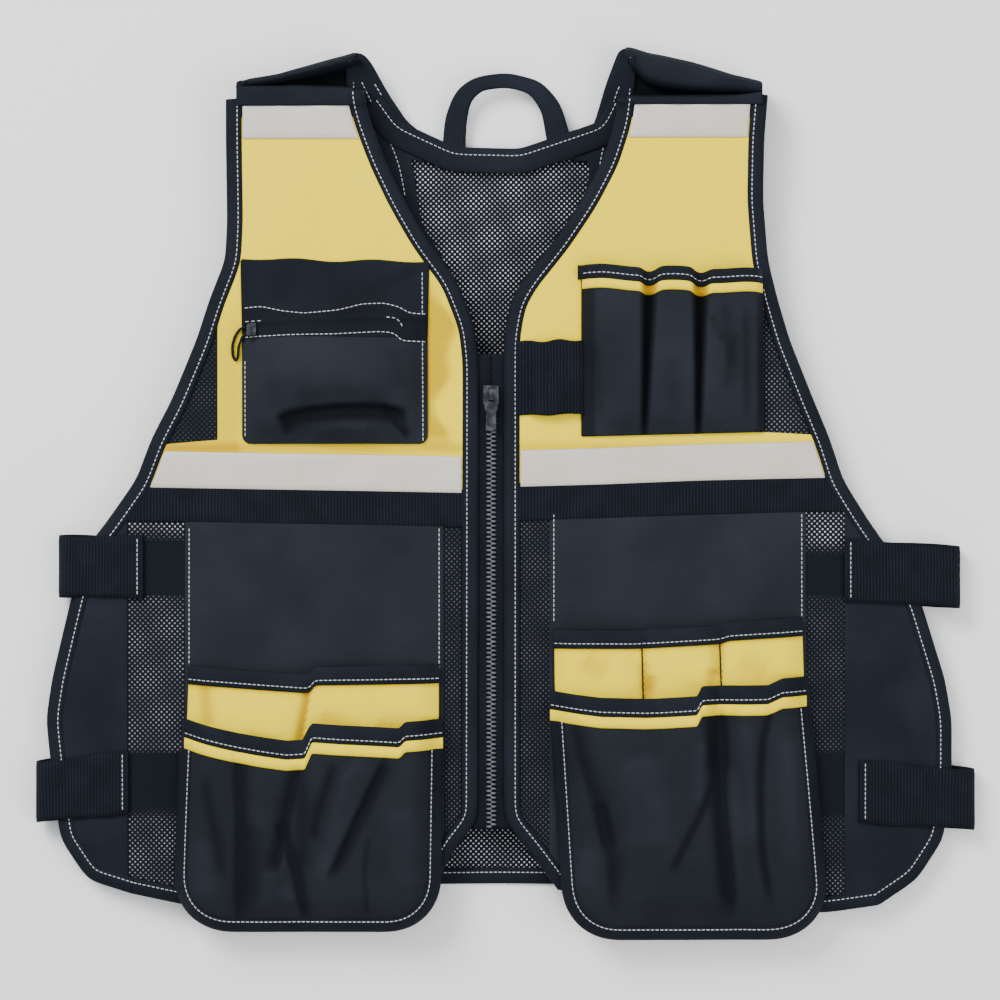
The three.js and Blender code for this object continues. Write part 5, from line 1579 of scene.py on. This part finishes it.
# Rise of a strap over its seat on the front at the places of its way there
STRAP_LIFTS = np.array([0, 0, 0, 0.5 * MM, 0.6 * MM])
for name, *across, up, lean in STRAPS:
    start_x, knot_x, edge_x, out_x = (ORIGIN_X + share * HALF_WIDTH for share in across)
    sign = 1 if out_x > ORIGIN_X else -1
    middle_y = ORIGIN_Y + up * BODY_LENGTH
    slope = lean * MM / (out_x - start_x)
    seats = np.array([start_x, 0.5 * (start_x + knot_x), knot_x, 0.5 * (knot_x + edge_x), edge_x])
    low = ON_CLOTH + STRAP_THICK / 2 + 0.3 * MM
    grid = []
    for offset in np.linspace(-0.5, 0.5, STRAP_ROWS):
        seat_y = middle_y + offset * STRAP_WIDTH + slope * (seats - start_x)
        seat_z = front_height(seats, seat_y) + ON_TRIM + 0.9 * MM + STRAP_LIFTS
        half = (seat_z[-1] - low) / 2
        bend = min(half, abs(out_x - edge_x) - 1 * MM)
        turns = [math.pi / 2 - step for step in np.linspace(0, math.pi, 12)[1:-1]]
        arc = [(out_x - sign * bend * (1 - math.cos(a)), low + half + half * math.sin(a)) for a in turns]
        line = np.vstack([np.column_stack([seats, seat_z]), arc, [(edge_x - sign * STRAP_RETURN, low)]])
        line = smooth_line(line, 0.8 * MM, 6)
        line = walked(line, np.linspace(0, lengths(line)[-1], STRAP_COLUMNS))
        share = np.linspace(0, 1, STRAP_COLUMNS)
        flare = 1 + 0.04 * np.sin(9 * share + 4 * up)
        wave = 0.5 * MM * np.sin(23 * share + 5 * offset + 11 * up) * np.clip(share * 6, 0, 1)
        y = middle_y + offset * STRAP_WIDTH * flare + slope * (line[:, 0] - start_x)
        grid.append(np.column_stack([line[:, 0], y, line[:, 1] + wave * np.clip((1 - share) * 4, 0, 1)]))
    along = lengths(grid[STRAP_ROWS // 2])
    ways = np.stack(np.meshgrid(along, np.linspace(0, STRAP_WIDTH, STRAP_ROWS)), axis=2)
    strap = grid_cloth(f"strap_elastic_{name}", grid, STRAP_THICK, ribbed_elastic, ways)
    settle(strap, f"strap_{name}")
    seam_x = start_x + sign * 4 * MM
    line = np.array([(seam_x, middle_y - 0.46 * STRAP_WIDTH), (seam_x, middle_y + 0.46 * STRAP_WIDTH)])
    seams["straps"].sew(line, over(front_height, ON_TRIM + STRAP_THICK + 0.5 * MM))

# Webbing handle at the back of the neck
HANDLE_ROUTE = [
    (-0.118, 0.912), (-0.112, 0.965), (-0.094, 0.995), (-0.055, 1.011), (0.02, 1.0155), (0.09, 1.006),
    (0.13, 0.98), (0.16, 0.915),
]
handle_line = smooth_line(place(HANDLE_ROUTE), 2 * MM, 10)
HANDLE_LIFT = [(0.9, 3.3), (0.93, 4.5), (0.96, 8), (1.0, 10.5), (1.04, 11)]


def handle_height(x, y):
    """The loop stands off the back as it goes up."""
    up = (y - ORIGIN_Y) / BODY_LENGTH
    return MM * soft_ramp(HANDLE_LIFT, up, 0.01) + 0.6 * MM * np.sin(70 * up + 14 * (x - ORIGIN_X))


handle_section = flat_section(-HANDLE_WIDTH / 2, HANDLE_WIDTH / 2, 0, HANDLE_THICK, 0.3 * MM, 7)
# The webbing turns on its edge at the top of the loop, so it looks narrower there
HANDLE_SEEN = ([0, 0.2, 0.4, 0.6, 0.8, 1], [1.05, 0.95, 0.65, 0.65, 0.95, 1.15])
handle = swept("neck_handle_webbing", handle_line, handle_section, handle_height, webbing_tape, HANDLE_SEEN)
settle(handle, "handle")

for name in ("body", "straps", "pockets"):
    seams[name].finish(f"topstitching_{name}", sewing_thread, "binding")


# Pale floor and plain soft studio light
floor_mesh = bpy.data.meshes.new("studio_floor")
FLOOR_REACH = 3.0
corners = [(x * FLOOR_REACH, y * FLOOR_REACH, 0) for x, y in ((-1, -1), (1, -1), (1, 1), (-1, 1))]
floor_mesh.from_pydata(corners, [], [(0, 1, 2, 3)])
floor = bpy.data.objects.new("studio_floor", floor_mesh)
floor.location.z = -0.3 * MM
bpy.context.scene.collection.objects.link(floor)
paper, paper_tree, paper_shader = new_look("white_paper_sweep", 0.9)
paper_spot = node(paper_tree, "ShaderNodeTexCoord").outputs["Object"]
paper_cloud = node(paper_tree, "ShaderNodeTexNoise", {"Vector": paper_spot, "Scale": 3.0, "Detail": 3.0})
paper_tint = node(paper_tree, "ShaderNodeMix", {
    SHARE: paper_cloud.outputs["Fac"], FIRST: linear("#FBFBFB"), SECOND: linear("#FFFFFF"),
}, data_type="RGBA").outputs[MIXED]
paper_tree.links.new(paper_tint, paper_shader.inputs["Base Color"])
floor_mesh.materials.append(paper)


def soft_box(name, place_at, size, power, aim=(0, 0, 0)):
    """Rectangular studio light that points at the vest."""
    data = bpy.data.lights.new(name, "AREA")
    data.shape = "RECTANGLE"
    data.size, data.size_y = size
    data.energy = power
    light = bpy.data.objects.new(name, data)
    light.location = place_at
    light.rotation_euler = (Vector(aim) - Vector(place_at)).to_track_quat("-Z", "Y").to_euler()
    bpy.context.scene.collection.objects.link(light)


soft_box("key_soft_box", (-1.3, 1.5, 1.9), (1.2, 1.2), 80)
soft_box("fill_soft_box", (1.6, -0.6, 1.8), (1.6, 1.6), 30)
soft_box("top_soft_box", (0.0, 0.2, 3.2), (2.4, 2.4), 40)
ROOM_COLOUR = (0.9, 0.93, 1.0, 1)
ROOM_LIGHT = 0.52
world = bpy.data.worlds.new("pale_room")
world.use_nodes = True
world.node_tree.nodes["Background"].inputs["Color"].default_value = ROOM_COLOUR
world.node_tree.nodes["Background"].inputs["Strength"].default_value = ROOM_LIGHT
bpy.context.scene.world = world

# Every cloth lies on the layer below it, and the size it is cut to is read for each
LIES_ON = {"back_mesh": [], "chest_bag": ["chest_cloth_left"], "pen_pocket_cloth": ["chest_cloth_right"]}
for side in ("left", "right"):
    LIES_ON[f"front_mesh_{side}"] = ["back_mesh"]
    for name in ("chest_cloth", "side_cloth", "pocket_base_cloth"):
        LIES_ON[f"{name}_{side}"] = [f"front_mesh_{side}"]
    LIES_ON[f"pocket_yellow_cloth_{side}"] = [f"pocket_base_cloth_{side}"]
    LIES_ON[f"pocket_front_cloth_{side}"] = [f"pocket_yellow_cloth_{side}"]
for name, below in LIES_ON.items():
    width, length, area = (float(value) for value in cut_sizes[name])
